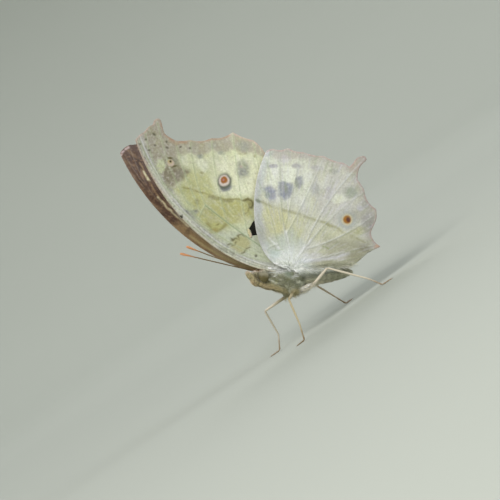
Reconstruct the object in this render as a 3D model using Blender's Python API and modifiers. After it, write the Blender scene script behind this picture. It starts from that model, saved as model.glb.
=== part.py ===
# Common mother-of-pearl butterfly at rest, wings closed, at life size.
# Head towards -X, left side towards -Y, +Z up, feet on Z = 0.
# Lengths below are in millimetres and become metres where a mesh is made.

import math

import bmesh
import bpy
import numpy as np
from mathutils import Vector
from mathutils.geometry import delaunay_2d_cdt

MM = 0.001
NAME = "mother_of_pearl_butterfly"

# The body's axis is pitched head up. Body coordinates are u towards the tail,
# y towards the right side and w towards the back, from a point above the thorax.
BODY_PITCH = 30.0
BODY_ORIGIN = (-6.29, 0.0, 14.3)
GAP = 0.3

# Wings: each pair lies in two nearly parallel planes that open upwards.
WING_TILT = 8.3
FOREWING_ROOT = 1.2
WING_SPACING = 1.1
MEMBRANE = 0.5
VEIN_THICKNESS = 0.8
VEIN_HALF_WIDTH = 0.42
VEIN_STEP = 2.1
MARGIN_STEP = 1.2
MEMBRANE_STEP = 2.6
CAMBER = 0.45
CAMBER_CENTRE = (-8.0, 14.0)
CAMBER_REACH = 14.0

# Body, as the half sizes of its sections.
RING_SIDES = 24
NECK_U = -2.45
WAIST_U = 3.95
TAIL_U = 15.6
ABDOMEN_SEGMENTS = 8
SEGMENT_GROOVE = 0.07
EYE_CENTRE = (-4.4, 1.5, -1.45)
EYE_RADII = (1.15, 0.85, 1.3)

# Legs
FEMUR_RADIUS = 0.36
TIBIA_RADIUS = 0.27
TARSUS_RADIUS = 0.26

COLOURS = {
    "wing": (0.66, 0.68, 0.52, 1.0),
    "body": (0.36, 0.34, 0.24, 1.0),
    "palp": (0.52, 0.42, 0.27, 1.0),
    "eye": (0.08, 0.07, 0.04, 1.0),
    "antenna": (0.30, 0.16, 0.07, 1.0),
    "leg": (0.60, 0.54, 0.44, 1.0),
}

# Forewing in its own plane: (u, w) from the body's origin.
FOREWING_BASE = ((1.2, 0.85), (-1.4, 0.85))
FOREWING_COSTA = ((-1.4, 0.85), (-15.0, 1.0), (-26.0, 13.0), (-30.3, 27.7))
# Each later point of the outer margin with the bow of the stretch before it.
FOREWING_MARGIN = (
    ((-28.7, 29.1), 0.1),
    ((-26.5, 30.4), 0.1),
    ((-26.0, 31.6), -0.05),
    ((-25.1, 31.8), 0.1),
    ((-24.5, 30.2), 0.0),
    ((-23.9, 28.7), -0.05),
    ((-21.7, 27.2), -0.15),
    ((-18.6, 27.3), -0.15),
    ((-14.1, 27.5), -0.45),
    ((-9.4, 28.6), -0.5),
    ((-5.2, 26.8), -0.25),
    ((-2.4, 23.3), 0.35),
    ((1.2, 0.85), 0.5),
)
# Veins as start, pull and end of a curve: costa's neighbours first, then the cell
# with its branches to the margin, and the vein beside the inner edge.
FOREWING_VEINS = (
    ((-1.6, 1.3), (-13.0, 3.2), (-20.6, 10.9)),
    ((-0.8, 1.6), (-11.0, 4.1), (-17.8, 11.0)),
    ((-14.6, 7.9), (-20.5, 11.5), (-25.2, 16.4)),
    ((-17.8, 11.0), (-24.2, 16.6), (-28.6, 23.0)),
    ((-22.6, 15.6), (-27.6, 21.8), (-29.4, 27.4)),
    ((-24.6, 18.2), (-27.4, 23.6), (-28.1, 28.9)),
    ((-17.8, 11.0), (-23.4, 18.6), (-25.4, 31.0)),
    ((-17.2, 12.3), (-20.4, 19.6), (-21.7, 26.7)),
    ((-16.2, 13.7), (-18.6, 19.8), (-18.6, 26.8)),
    ((-17.8, 11.0), (-17.3, 12.6), (-16.2, 13.7)),
    ((-0.2, 1.8), (-7.6, 6.4), (-16.2, 13.7)),
    ((-11.9, 10.4), (-13.9, 18.2), (-14.1, 27.0)),
    ((-7.4, 7.0), (-9.1, 16.6), (-9.4, 28.1)),
    ((0.3, 1.7), (-3.2, 13.0), (-5.1, 26.3)),
)

# Hindwing, with the same axes, one wing spacing further out.
HINDWING_BASE = ((3.9, -0.15), (0.6, -0.15))
HINDWING_FRONT = ((0.6, -0.15), (-7.2, 0.8), (-8.0, 15.5), (-2.6, 24.3))
HINDWING_MARGIN = (
    ((-1.0, 24.8), 0.1),
    ((0.5, 24.45), -0.05),
    ((2.0, 24.8), -0.05),
    ((5.6, 23.85), -0.15),
    ((9.9, 22.8), -0.25),
    ((14.2, 21.2), -0.25),
    ((15.4, 20.3), 0.05),
    ((16.9, 21.8), -0.15),
    ((18.4, 22.45), 0.15),
    ((19.3, 22.1), 0.15),
    ((19.2, 21.4), 0.1),
    ((17.7, 20.1), -0.1),
    ((17.1, 17.5), -0.15),
    ((18.5, 15.3), 0.1),
    ((18.95, 13.3), -0.1),
    ((20.9, 11.3), -0.2),
    ((20.8, 9.0), 0.1),
    ((19.4, 6.4), 0.0),
    ((21.5, 3.4), -0.5),
    ((18.6, 2.3), 0.0),
    ((14.8, -0.4), 0.1),
    ((9.5, -0.8), 0.1),
    ((3.9, -0.15), 0.0),
)
HINDWING_VEINS = (
    ((1.7, 0.7), (-4.6, 8.0), (-2.3, 23.6)),
    ((-0.9, 4.9), (-2.6, 4.8), (-3.6, 3.9)),
    ((1.9, 0.8), (-1.4, 11.6), (0.4, 23.9)),
    ((0.3, 8.0), (2.8, 15.6), (4.7, 23.5)),
    ((0.7, 6.9), (5.4, 14.0), (9.8, 22.2)),
    ((4.4, 3.8), (8.6, 13.0), (18.9, 21.8)),
    ((2.3, 0.9), (8.4, 9.4), (18.3, 14.9)),
    ((5.0, 3.7), (13.4, 5.4), (20.5, 10.2)),
    ((2.8, 0.6), (11.5, 2.5), (20.8, 3.9)),
    ((3.2, 0.3), (10.0, 0.2), (16.9, 1.5)),
)

# A tear in the left forewing's membrane, beside the hindwing's front edge.
TEAR = ((-6.0, 10.1), (-7.0, 8.6), (-6.5, 7.1), (-4.9, 7.3), (-5.0, 9.6))

# Sections of the body: u, centre w, half width, height above and depth below.
THORAX_SECTIONS = (
    (NECK_U, -1.6, 1.3, 1.3, 1.3),
    (-1.9, -1.6, 1.6, 1.65, 1.7),
    (-1.0, -1.6, 1.9, 2.0, 2.05),
    (0.3, -1.65, 2.12, 2.3, 2.3),
    (1.5, -1.65, 2.15, 2.35, 2.35),
    (2.6, -1.7, 2.0, 2.05, 2.2),
    (3.4, -1.85, 1.75, 1.75, 2.0),
    (WAIST_U, -2.05, 1.4, 1.4, 1.55),
)
ABDOMEN_SECTIONS = (
    (WAIST_U + GAP, -2.1, 1.3, 1.3, 1.4),
    (5.4, -2.05, 1.55, 1.55, 1.65),
    (7.2, -1.95, 1.65, 1.65, 1.7),
    (9.6, -1.75, 1.55, 1.55, 1.65),
    (12.0, -1.55, 1.3, 1.3, 1.4),
    (14.0, -1.4, 0.95, 0.95, 1.0),
    (15.2, -1.3, 0.55, 0.55, 0.6),
    (TAIL_U, -1.3, 0.25, 0.25, 0.25),
)
HEAD_SECTIONS = (
    (NECK_U - GAP, -1.6, 1.2, 1.2, 1.15),
    (-3.3, -1.6, 1.5, 1.5, 1.45),
    (-4.2, -1.6, 1.55, 1.75, 1.6),
    (-5.0, -1.65, 1.4, 1.55, 1.5),
    (-5.6, -1.8, 0.95, 1.0, 1.05),
    (-5.85, -1.85, 0.45, 0.5, 0.5),
)

# Paths in body coordinates, with a radius at each point.
PALP_PATH = (
    ((-6.15, 0.5, -2.95), 0.3),
    ((-6.9, 0.55, -2.6), 0.46),
    ((-7.4, 0.5, -1.9), 0.48),
    ((-7.65, 0.42, -1.1), 0.36),
    ((-7.8, 0.35, -0.3), 0.16),
)
FORELEG_PATH = (
    ((-3.9, 0.6, -3.85), 0.28),
    ((-2.4, 0.68, -4.25), 0.42),
    ((-0.6, 0.7, -4.65), 0.46),
    ((1.0, 0.7, -4.72), 0.44),
    ((2.4, 0.62, -4.72), 0.3),
)
ANTENNA_PULL = (-12.0, 1.0, 1.9)
ANTENNA_BASE = (-5.15, 0.5, 0.1)
ANTENNA_TIPS = {"L": (-20.9, 3.1, 5.3), "R": (-20.5, 3.2, 4.9)}
ANTENNA_SHAFT = 0.25
ANTENNA_CLUB = 0.36
CLUB_LENGTH = 3.0

# Joints of each leg on the floor's own axes: coxa, trochanter, knee, heel,
# where the tarsus meets the floor, and its toe. The sole is cut flat at Z = 0.
SOLE_HEIGHT = 0.2
LEGS = {
    "midleg_L": ((-7.4, -1.95, 10.4), (-8.0, -2.8, 9.0), (-10.6, -5.6, 8.6),
                 (-12.9, -9.0, 3.4), (-14.2, -9.6, SOLE_HEIGHT), (-16.2, -9.8, SOLE_HEIGHT)),
    "midleg_R": ((-7.4, 1.95, 10.4), (-7.7, 2.8, 9.0), (-12.6, 5.0, 8.9),
                 (-11.9, 8.0, 3.1), (-13.3, 9.0, SOLE_HEIGHT), (-15.4, 9.8, SOLE_HEIGHT)),
    "hindleg_L": ((-5.6, -1.5, 9.3), (-3.2, -2.6, 8.0), (0.65, -4.6, 9.3),
                  (5.7, -8.0, 2.6), (7.0, -8.9, SOLE_HEIGHT), (9.1, -9.8, SOLE_HEIGHT)),
    "hindleg_R": ((-5.6, 1.5, 9.3), (-4.2, 2.6, 8.5), (-0.7, 4.8, 8.6),
                  (3.1, 8.0, 3.2), (4.9, 9.0, SOLE_HEIGHT), (6.9, 9.8, SOLE_HEIGHT)),
}
LEG_RADII = (0.45, FEMUR_RADIUS, 0.3, TIBIA_RADIUS, TARSUS_RADIUS, TARSUS_RADIUS)


def clear_scene():
    """Empty the file before the model is made."""
    for item in list(bpy.data.objects):
        bpy.data.objects.remove(item, do_unlink=True)


def make_collection(name):
    """A collection in the scene."""
    collection = bpy.data.collections.new(name)
    bpy.context.scene.collection.children.link(collection)
    return collection


def make_material(name, roughness=0.6):
    """A Principled material in one of the part's colours."""
    material = bpy.data.materials.new(name)
    material.use_nodes = True
    shader = material.node_tree.nodes["Principled BSDF"]
    shader.inputs["Base Color"].default_value = COLOURS[name]
    shader.inputs["Roughness"].default_value = roughness
    return material


def add_object(name, data, collection, material, parent):
    """Link an object under its parent and give it its material."""
    item = bpy.data.objects.new(name, data)
    collection.objects.link(item)
    item.parent = parent
    if material is not None:
        data.materials.append(material)
    return item


def curve_between(start, pull, end, count):
    """Points of a quadratic curve from start to end, drawn towards pull."""
    points = []
    for t in np.linspace(0.0, 1.0, count):
        points.append((1 - t) ** 2 * np.array(start)
                      + 2 * t * (1 - t) * np.array(pull)
                      + t ** 2 * np.array(end))
    return points


def cubic_curve(handles, step):
    """Points of a cubic curve with four handles, about step apart."""
    a, b, c, d = (np.array(p) for p in handles)
    count = int(np.linalg.norm(d - a) / step) + 2
    points = []
    for t in np.linspace(0.0, 1.0, count):
        s = 1 - t
        points.append(s ** 3 * a + 3 * s * s * t * b + 3 * s * t * t * c + t ** 3 * d)
    return points


def bowed_span(start, end, bow, step):
    """Points from start to end, bowed to the left of its direction, without the start."""
    start = np.array(start)
    end = np.array(end)
    along = end - start
    length = np.linalg.norm(along)
    across = np.array((-along[1], along[0])) / length
    count = max(1, int(length / step + 0.5))
    if abs(bow) > 0.05:
        count = max(count, 2)
    points = []
    for index in range(1, count + 1):
        t = index / count
        points.append(start + along * t + across * bow * 4 * t * (1 - t))
    return points


def wing_outline(leading, margin, base):
    """The closed edge of a wing: base to leading edge, outer margin and base again."""
    points = cubic_curve(leading, 1.6 * MARGIN_STEP)
    for target, bow in margin:
        step = MARGIN_STEP if abs(bow) > 0.05 else 2 * MARGIN_STEP
        points += bowed_span(points[-1], target, bow, step)
    # The base's own edge runs back to the first point.
    points += bowed_span(base[0], base[1], 0.0, MARGIN_STEP)[:-1]
    return points


def distance_to_segment(point, start, end):
    """Distance from a point to a straight stretch."""
    along = end - start
    t = np.dot(point - start, along) / max(np.dot(along, along), 1e-12)
    return np.linalg.norm(point - start - along * min(max(t, 0.0), 1.0))


def distance_to_line(point, line):
    """Distance from a point to a line of several stretches."""
    return min(distance_to_segment(point, a, b) for a, b in zip(line, line[1:]))


def inside(point, outline):
    """Whether a point lies inside a closed outline."""
    result = False
    for (ax, ay), (bx, by) in zip(outline, outline[1:] + outline[:1]):
        if (ay > point[1]) != (by > point[1]):
            if point[0] < (bx - ax) * (point[1] - ay) / (by - ay) + ax:
                result = not result
    return result


def vein_line(vein):
    """Centre line of one vein, with its end a little inside the margin."""
    start, pull, end = (np.array(p) for p in vein)
    length = np.linalg.norm(pull - start) + np.linalg.norm(end - pull)
    return curve_between(start, pull, end, max(3, int(length / VEIN_STEP) + 1))


def wing_points(outline, veins, holes):
    """Points and fixed edges of a wing: its edge, veins with both banks, and membrane."""
    points = list(outline)
    edges = [(i, (i + 1) % len(outline)) for i in range(len(outline))]
    for hole in holes:
        first = len(points)
        points += [np.array(p) for p in hole]
        edges += [(first + i, first + (i + 1) % len(hole)) for i in range(len(hole))]
    edge_lines = [outline + outline[:1]]
    edge_lines += [[np.array(p) for p in hole + hole[:1]] for hole in holes]
    lines = [vein_line(vein) for vein in veins]
    for line in lines:
        previous = None
        for point in line:
            near = [i for i, p in enumerate(points) if np.linalg.norm(p - point) < 0.35]
            clear = all(distance_to_line(point, edge) > 0.35 for edge in edge_lines)
            if near and near[0] >= len(outline):
                current = near[0]
            elif clear and inside(point, outline):
                points.append(point)
                current = len(points) - 1
            else:
                previous = None
                continue
            if previous is not None and previous != current:
                edges.append((previous, current))
            previous = current
    for line in lines:
        for index, point in enumerate(line):
            ahead = line[min(index + 1, len(line) - 1)] - line[max(index - 1, 0)]
            across = np.array((-ahead[1], ahead[0])) / np.linalg.norm(ahead)
            for bank in (point + across * VEIN_HALF_WIDTH, point - across * VEIN_HALF_WIDTH):
                if not inside(bank, outline):
                    continue
                if any(distance_to_line(bank, edge) < 0.35 for edge in edge_lines):
                    continue
                if min(distance_to_line(bank, other) for other in lines) < VEIN_HALF_WIDTH * 0.85:
                    continue
                if min(np.linalg.norm(p - bank) for p in points) > 0.3:
                    points.append(bank)
    low = np.min(outline, axis=0)
    high = np.max(outline, axis=0)
    row = 0
    w = low[1]
    while w < high[1]:
        u = low[0] + (row % 2) * MEMBRANE_STEP / 2
        while u < high[0]:
            point = np.array((u, w))
            if inside(point, outline) and min(np.linalg.norm(p - point) for p in points) > 1.2:
                if all(distance_to_line(point, edge) > 0.6 for edge in edge_lines):
                    points.append(point)
            u += MEMBRANE_STEP
        w += MEMBRANE_STEP * 0.87
        row += 1
    return points, edges, lines


def camber_at(point):
    """How far the wing's middle bulges outwards."""
    reach = np.linalg.norm(np.array(point) - np.array(CAMBER_CENTRE)) / CAMBER_REACH
    return CAMBER * math.exp(-reach * reach)


def add_wing(name, side, root, shape, holes, collection, material, body):
    """One wing: a flat triangulated surface with camber, thickened most along its veins."""
    leading, margin, base, veins = shape
    outline = wing_outline(leading, margin, base)
    points, edges, lines = wing_points(outline, veins, holes)
    flat = delaunay_2d_cdt([Vector(p) for p in points], edges, [], 1, 1e-5)
    corners, faces = flat[0], flat[2]
    hole_loops = [[tuple(p) for p in hole] for hole in holes]
    kept = []
    for face in faces:
        centre = sum((corners[i] for i in face), Vector((0.0, 0.0))) / len(face)
        if not any(inside(centre, hole) for hole in hole_loops):
            kept.append(face)
    outwards = -side
    mesh = bpy.data.meshes.new(name)
    places = [(c.x * MM, c.y * MM, outwards * camber_at(c) * MM) for c in corners]
    mesh.from_pydata(places, [], kept)
    mesh.update()
    wing = add_object(name, mesh, collection, material, body)
    wing.location = (0.0, side * root * MM, 0.0)
    wing.rotation_euler = (math.radians(90.0 - side * WING_TILT), 0.0, 0.0)
    group = wing.vertex_groups.new(name="ridge")
    for index, corner in enumerate(corners):
        height = 0.0
        if lines:
            place = np.array((corner.x, corner.y))
            nearest = min(distance_to_line(place, line) for line in lines)
            height = max(0.0, 1.0 - nearest / (VEIN_HALF_WIDTH * 0.9))
        group.add([index], height, "REPLACE")
    solid = wing.modifiers.new("thickness", "SOLIDIFY")
    solid.thickness = VEIN_THICKNESS * MM
    solid.offset = 0.0
    solid.vertex_group = "ridge"
    solid.thickness_vertex_group = MEMBRANE / VEIN_THICKNESS
    return wing


def smooth_sections(sections, per_span):
    """Sections eased between the given ones by Catmull-Rom curves."""
    rows = [np.array(s) for s in sections]
    rows = [2 * rows[0] - rows[1]] + rows + [2 * rows[-1] - rows[-2]]
    result = []
    for index in range(1, len(rows) - 2):
        before, start, end, after = rows[index - 1:index + 3]
        for t in np.linspace(0.0, 1.0, per_span, endpoint=False):
            result.append(0.5 * (2 * start + (end - before) * t
                                 + (2 * before - 5 * start + 4 * end - after) * t * t
                                 + (3 * start - before - 3 * end + after) * t ** 3))
    result.append(rows[-2])
    return result


def grooved(sections):
    """Sections with a shallow groove where each of the abdomen's segments ends."""
    result = []
    start, end = sections[0][0], sections[-1][0]
    for section in sections:
        place = (section[0] - start) / (end - start) * ABDOMEN_SEGMENTS
        depth = SEGMENT_GROOVE * max(0.0, math.cos(2 * math.pi * place))
        at_end = section[0] in (start, end)
        scale = 1.0 if at_end else 1.0 - depth
        result.append([section[0], section[1]] + [size * scale for size in section[2:]])
    return result


def even_sections(sections, count):
    """Sections at even distances along the axis."""
    table = np.array(smooth_sections(sections, 8))
    places = np.linspace(table[0][0], table[-1][0], count)
    columns = [np.interp(places, table[:, 0], table[:, i]) for i in range(table.shape[1])]
    return list(np.array(columns).T)


def add_body_form(name, sections, collection, material, body):
    """A closed form lofted through oval sections along the body's axis."""
    mesh = bpy.data.meshes.new(name)
    form = bmesh.new()
    rings = []
    for u, centre, half_width, above, below in sections:
        ring = []
        for index in range(RING_SIDES):
            angle = 2 * math.pi * index / RING_SIDES
            height = above if math.sin(angle) > 0 else below
            ring.append(form.verts.new((u * MM, half_width * math.cos(angle) * MM,
                                        (centre + height * math.sin(angle)) * MM)))
        rings.append(ring)
    for one, two in zip(rings, rings[1:]):
        for index in range(RING_SIDES):
            following = (index + 1) % RING_SIDES
            form.faces.new((one[index], one[following], two[following], two[index]))
    form.faces.new(rings[0])
    form.faces.new(rings[-1])
    bmesh.ops.recalc_face_normals(form, faces=form.faces)
    form.to_mesh(mesh)
    form.free()
    mesh.shade_smooth()
    return add_object(name, mesh, collection, material, body)


def add_eye(name, side, radii, collection, material, body):
    """An oval sphere at one side of the head."""
    mesh = bpy.data.meshes.new(name)
    form = bmesh.new()
    bmesh.ops.create_uvsphere(form, u_segments=20, v_segments=12, radius=1.0)
    bmesh.ops.scale(form, vec=Vector(radii) * MM, verts=form.verts)
    form.to_mesh(mesh)
    form.free()
    mesh.shade_smooth()
    eye = add_object(name, mesh, collection, material, body)
    eye.location = Vector((EYE_CENTRE[0], side * EYE_CENTRE[1], EYE_CENTRE[2])) * MM
    return eye


def add_tube(name, path, collection, material, parent):
    """A tapered tube along points that each have a radius, as a closed mesh."""
    curve = bpy.data.curves.new(name + "_path", "CURVE")
    curve.dimensions = "3D"
    curve.bevel_depth = MM
    curve.bevel_resolution = 2
    curve.use_fill_caps = True
    spline = curve.splines.new("POLY")
    spline.points.add(len(path) - 1)
    for point, (place, radius) in zip(spline.points, path):
        point.co = (place[0] * MM, place[1] * MM, place[2] * MM, 1.0)
        point.radius = radius
    guide = bpy.data.objects.new(name + "_path", curve)
    collection.objects.link(guide)
    bpy.context.view_layer.update()
    evaluated = guide.evaluated_get(bpy.context.evaluated_depsgraph_get())
    mesh = bpy.data.meshes.new_from_object(evaluated)
    bpy.data.objects.remove(guide)
    mesh.name = name
    form = bmesh.new()
    form.from_mesh(mesh)
    bmesh.ops.remove_doubles(form, verts=form.verts, dist=0.00001)
    bmesh.ops.recalc_face_normals(form, faces=form.faces)
    form.to_mesh(mesh)
    form.free()
    mesh.materials.clear()
    return add_object(name, mesh, collection, material, parent)


def rounded_path(joints, radii, bend):
    """A path through joints whose corners are rounded by a bend length."""
    joints = [np.array(j) for j in joints]
    path = [(joints[0], radii[0])]
    for index in range(1, len(joints) - 1):
        before, corner, after = joints[index - 1:index + 2]
        into = (before - corner) / np.linalg.norm(before - corner)
        out = (after - corner) / np.linalg.norm(after - corner)
        reach = min(bend, 0.4 * np.linalg.norm(before - corner), 0.4 * np.linalg.norm(after - corner))
        for place in curve_between(corner + into * reach, corner, corner + out * reach, 4):
            path.append((place, radii[index]))
    path.append((joints[-1], radii[-1]))
    return path


def cut_flat(leg, cutter):
    """Cut a leg's sole level with the floor."""
    cut = leg.modifiers.new("sole", "BOOLEAN")
    cut.operation = "DIFFERENCE"
    cut.object = cutter


def add_cutter(name, mesh, collection):
    """A hidden object that shapes others."""
    cutter = bpy.data.objects.new(name, mesh)
    collection.objects.link(cutter)
    cutter.hide_render = True
    cutter.display_type = "WIRE"
    return cutter


def add_floor_cutter(collection, parent):
    """A slab below the floor, which cuts the soles flat."""
    mesh = bpy.data.meshes.new("floor_cutter")
    form = bmesh.new()
    bmesh.ops.create_cube(form, size=1.0)
    bmesh.ops.scale(form, vec=(0.08, 0.08, 0.01), verts=form.verts)
    bmesh.ops.translate(form, vec=(0.0, 0.0, -0.005), verts=form.verts)
    form.to_mesh(mesh)
    form.free()
    cutter = add_cutter("floor_cutter", mesh, collection)
    cutter.parent = parent
    return cutter


def add_head(collection, cutters, material, body):
    """The head, with a socket for each eye."""
    head = add_body_form("head", smooth_sections(HEAD_SECTIONS, 3), collection, material, body)
    for side in (-1, 1):
        radii = [radius + GAP for radius in EYE_RADII]
        socket = add_eye("socket_cutter", side, radii, cutters, None, body)
        socket.hide_render = True
        socket.display_type = "WIRE"
        cut = head.modifiers.new("socket", "BOOLEAN")
        cut.operation = "DIFFERENCE"
        cut.object = socket
    return head


def mirrored(path, side):
    """A path on the chosen side of the body."""
    return [((place[0], side * place[1], place[2]), radius) for place, radius in path]


def antenna_path(letter, side):
    """Shaft and club of one antenna."""
    tip = ANTENNA_TIPS[letter]
    places = curve_between(ANTENNA_BASE, ANTENNA_PULL, tip, 15)
    path = []
    for place in places:
        left = np.linalg.norm(np.array(tip) - place)
        swell = max(0.0, 1.0 - left / CLUB_LENGTH)
        radius = ANTENNA_SHAFT + (ANTENNA_CLUB - ANTENNA_SHAFT) * math.sin(math.pi * min(swell, 0.5))
        path.append((tuple(place), radius))
    path[-1] = (path[-1][0], ANTENNA_SHAFT)
    return mirrored(path, side)


def centre_on_origin(parts, root):
    """Move the whole model so that its box stands centred on the origin."""
    bpy.context.view_layer.update()
    graph = bpy.context.evaluated_depsgraph_get()
    places = []
    for part in parts:
        evaluated = part.evaluated_get(graph)
        mesh = evaluated.to_mesh()
        places += [evaluated.matrix_world @ vertex.co for vertex in mesh.vertices]
        evaluated.to_mesh_clear()
    for axis in range(2):
        values = [place[axis] for place in places]
        root.location[axis] = -(min(values) + max(values)) / 2
    bpy.context.view_layer.update()


def main():
    """Make the whole butterfly."""
    clear_scene()
    parts = make_collection(NAME)
    cutters = make_collection("cutters")
    materials = {name: make_material(name) for name in COLOURS}
    materials["eye"].node_tree.nodes["Principled BSDF"].inputs["Roughness"].default_value = 0.25

    root = bpy.data.objects.new("model_frame", None)
    parts.objects.link(root)
    body = bpy.data.objects.new("body_frame", None)
    parts.objects.link(body)
    body.parent = root
    body.location = Vector(BODY_ORIGIN) * MM
    body.rotation_euler = (0.0, math.radians(BODY_PITCH), 0.0)

    thorax = smooth_sections(THORAX_SECTIONS, 2)
    add_body_form("thorax", thorax, parts, materials["body"], body)
    abdomen = grooved(even_sections(ABDOMEN_SECTIONS, 4 * ABDOMEN_SEGMENTS + 1))
    add_body_form("abdomen", abdomen, parts, materials["body"], body)
    add_head(parts, cutters, materials["body"], body)

    forewing = (FOREWING_COSTA, FOREWING_MARGIN, FOREWING_BASE, FOREWING_VEINS)
    hindwing = (HINDWING_FRONT, HINDWING_MARGIN, HINDWING_BASE, HINDWING_VEINS)
    floor = add_floor_cutter(cutters, root)
    for letter, side in (("L", -1), ("R", 1)):
        add_eye("eye_" + letter, side, EYE_RADII, parts, materials["eye"], body)
        add_tube("palp_" + letter, mirrored(PALP_PATH, side), parts, materials["palp"], body)
        add_tube("foreleg_" + letter, mirrored(FORELEG_PATH, side), parts, materials["palp"], body)
        add_tube("antenna_" + letter, antenna_path(letter, side), parts, materials["antenna"], body)
        holes = [TEAR] if letter == "L" else []
        add_wing("forewing_" + letter, side, FOREWING_ROOT, forewing, holes,
                 parts, materials["wing"], body)
        add_wing("hindwing_" + letter, side, FOREWING_ROOT + WING_SPACING, hindwing, [],
                 parts, materials["wing"], body)
        for pair in ("midleg_", "hindleg_"):
            path = rounded_path(LEGS[pair + letter], LEG_RADII, 0.6)
            leg = add_tube(pair + letter, path, parts, materials["leg"], root)
            cut_flat(leg, floor)

    centre_on_origin([item for item in parts.objects if item.type == "MESH"], root)


main()
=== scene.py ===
# Looks of the common mother-of-pearl butterfly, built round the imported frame.
# Lengths are in millimetres and become metres where a mesh is made.
# Wing places are (u, w) in the wing's plane: u towards the tail, w towards the outer margin.

import math

import bpy
import numpy as np
from mathutils import Matrix, Vector, noise
from mathutils.geometry import delaunay_2d_cdt


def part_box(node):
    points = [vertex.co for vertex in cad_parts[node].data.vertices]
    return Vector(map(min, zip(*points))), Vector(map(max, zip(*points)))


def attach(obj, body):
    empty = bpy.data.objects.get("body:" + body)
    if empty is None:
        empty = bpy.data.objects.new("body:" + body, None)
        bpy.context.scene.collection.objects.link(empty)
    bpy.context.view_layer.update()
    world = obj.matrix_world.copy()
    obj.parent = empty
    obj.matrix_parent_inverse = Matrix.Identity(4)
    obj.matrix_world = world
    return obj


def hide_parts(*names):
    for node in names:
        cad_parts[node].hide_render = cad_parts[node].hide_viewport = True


MM = 0.001
SEED = 11
FAR_AWAY = 1e9
TINY = 1e-6

# The body's own axes, as in the frame: pitched head up about the crosswise axis.
BODY_PITCH = math.radians(30.0)
EYE_PLACE = (-4.4, 1.5, -1.45)
EYE_RADII = (1.1, 0.8, 1.25)

# Wings
WING_TILT = math.radians(8.3)
FOREWING_ROOT = 1.2
HINDWING_ROOT = 2.3
CAMBER = 0.45
CAMBER_CENTRE = (-8.0, 14.0)
CAMBER_REACH = 14.0
SKIN_THICKNESS = 0.16
SCRAP_THICKNESS = 0.08
SCRAP_GAP = 0.02
SCRAP_CURL = 0.3
VEIN_HEIGHT = 0.06
VEIN_WIDTH = 0.14
WAVE_HEIGHT = 0.07
MESH_STEP = 0.16
EDGE_STEP = 0.13
# The pairs stand a little closer than their planes: forewing out, hindwing in.
FOREWING_RISE = 0.15
HINDWING_RISE = -0.15
# The far forewing is drawn slightly further forward than the near one.
WING_TURN = {"forewing_R": math.radians(1.0)}
TIP_WEAR = 1.3
# The inner face draws its grain this far from the outer one's.
INNER_GRAIN_SHIFT = 60.0

# Fine structure of the materials: scales and facets to a millimetre, and the pearly film in nanometres
SCALES_PER_MM = (7.0, 11.0, 1.0)
FACETS_PER_MM = 9.0
PEARL_FILM = 420.0

# Where the fine streaks of scales run out from
STREAK_CENTRE = (1.0, -1.5)
# The way into the wing from the forewing's front edge
COSTA_INWARDS = np.array((0.72, 0.66))

# Coat: the size of a tuft's patch on its colour map, the map's reach over a wing in millimetres,
# how many tufts there are of each kind, and how wide they are
PATCH = 0.003
BAKE_REACH = 36.0
COAT_TUFTS = 19000
LONG_TUFTS = 12000
ROOT_TUFTS = 220
TRAIL_TUFTS = 900
HANG_TUFTS = 700
RIM_TUFTS = 1100
COAT_WIDTH = 0.045
LONG_WIDTH = 0.034
FINE_WIDTH = 0.03
FRINGE_WIDTH = 0.05
WIDTH_RANGE = (0.7, 1.3)
ROOT_CENTRE = (1.6, -0.5)
LOCK_SPREAD = 0.09
# The bare oval of the body's skin round an eye, and how far out the hair of its rim leans
EYE_CLEARANCE = (1.06, 0.82, 1.16)
LEAN_OVER_EYE = 0.95
# Lines of locks round the wings' roots, how many tufts each has, and their screen colour
ROOT_LOCKS = (
    (((-1.0, -0.85), (-0.4, -1.0), (0.2, -1.35)), 170, (112, 126, 100)),
    (((-3.4, 0.3), (-1.9, 0.0), (-0.6, -0.3), (0.1, -0.1), (0.9, -0.5), (1.2, -1.0)), 330,
     (250, 249, 252)),
    (((-3.3, -0.6), (-2.2, -0.7), (-1.0, -0.9), (-1.0, -1.6), (-0.2, -2.0), (0.7, -2.0), (1.3, -1.4)), 230,
     (246, 245, 246)),
    # Painted shade: dark locks in the slit between the hindwing's root and the body
    (((0.5, 0.0), (1.0, -0.4), (1.4, -0.9)), 35, (112, 124, 98)),
    (((2.0, -0.3), (2.6, -0.9), (4.0, -1.2), (6.0, -1.2), (8.0, -0.8)), 330, (246, 246, 246)),
    (((1.8, 0.3), (3.6, 0.0), (6.0, -0.5)), 70, (240, 240, 242)),
    (((-2.4, 1.2), (-0.8, 0.6), (0.9, 0.2)), 70, (240, 240, 240)),
)

# Stage: its screen colour, and how far out, how round and how high its wall is
STAGE_LEVELS = (176, 180, 172)
STAGE_REACH = 900.0
STAGE_ROUNDING = 350.0
STAGE_HEIGHT = 700.0
# The order of a quad's corners that turns its face over
TURNED_OVER = (0, 3, 2, 1)

# Lights: name, place, size, power in watts and colour
LIGHTS = (
    ("key", (-380.0, -520.0, 560.0), 420.0, 5.0, (1.0, 0.98, 0.95)),
    ("fill", (520.0, -420.0, 260.0), 480.0, 1.6, (0.95, 0.98, 1.0)),
    ("back", (200.0, 560.0, 520.0), 420.0, 1.9, (1.0, 1.0, 1.0)),
)
LIGHTS_AIM = (0.0, 0.0, 25.0)

# Camera: turned about the object, a little above the level, and rolled with the photo.
CAMERA_TURN = math.radians(-20.0)
CAMERA_RISE = math.radians(1.5)
CAMERA_ROLL = math.radians(34.0)
CAMERA_LENS = 200.0
CAMERA_SENSOR = 36.0
FIELD_WIDTH = 104.1667
CAMERA_AIM = (-9.0, 21.2)

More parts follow.
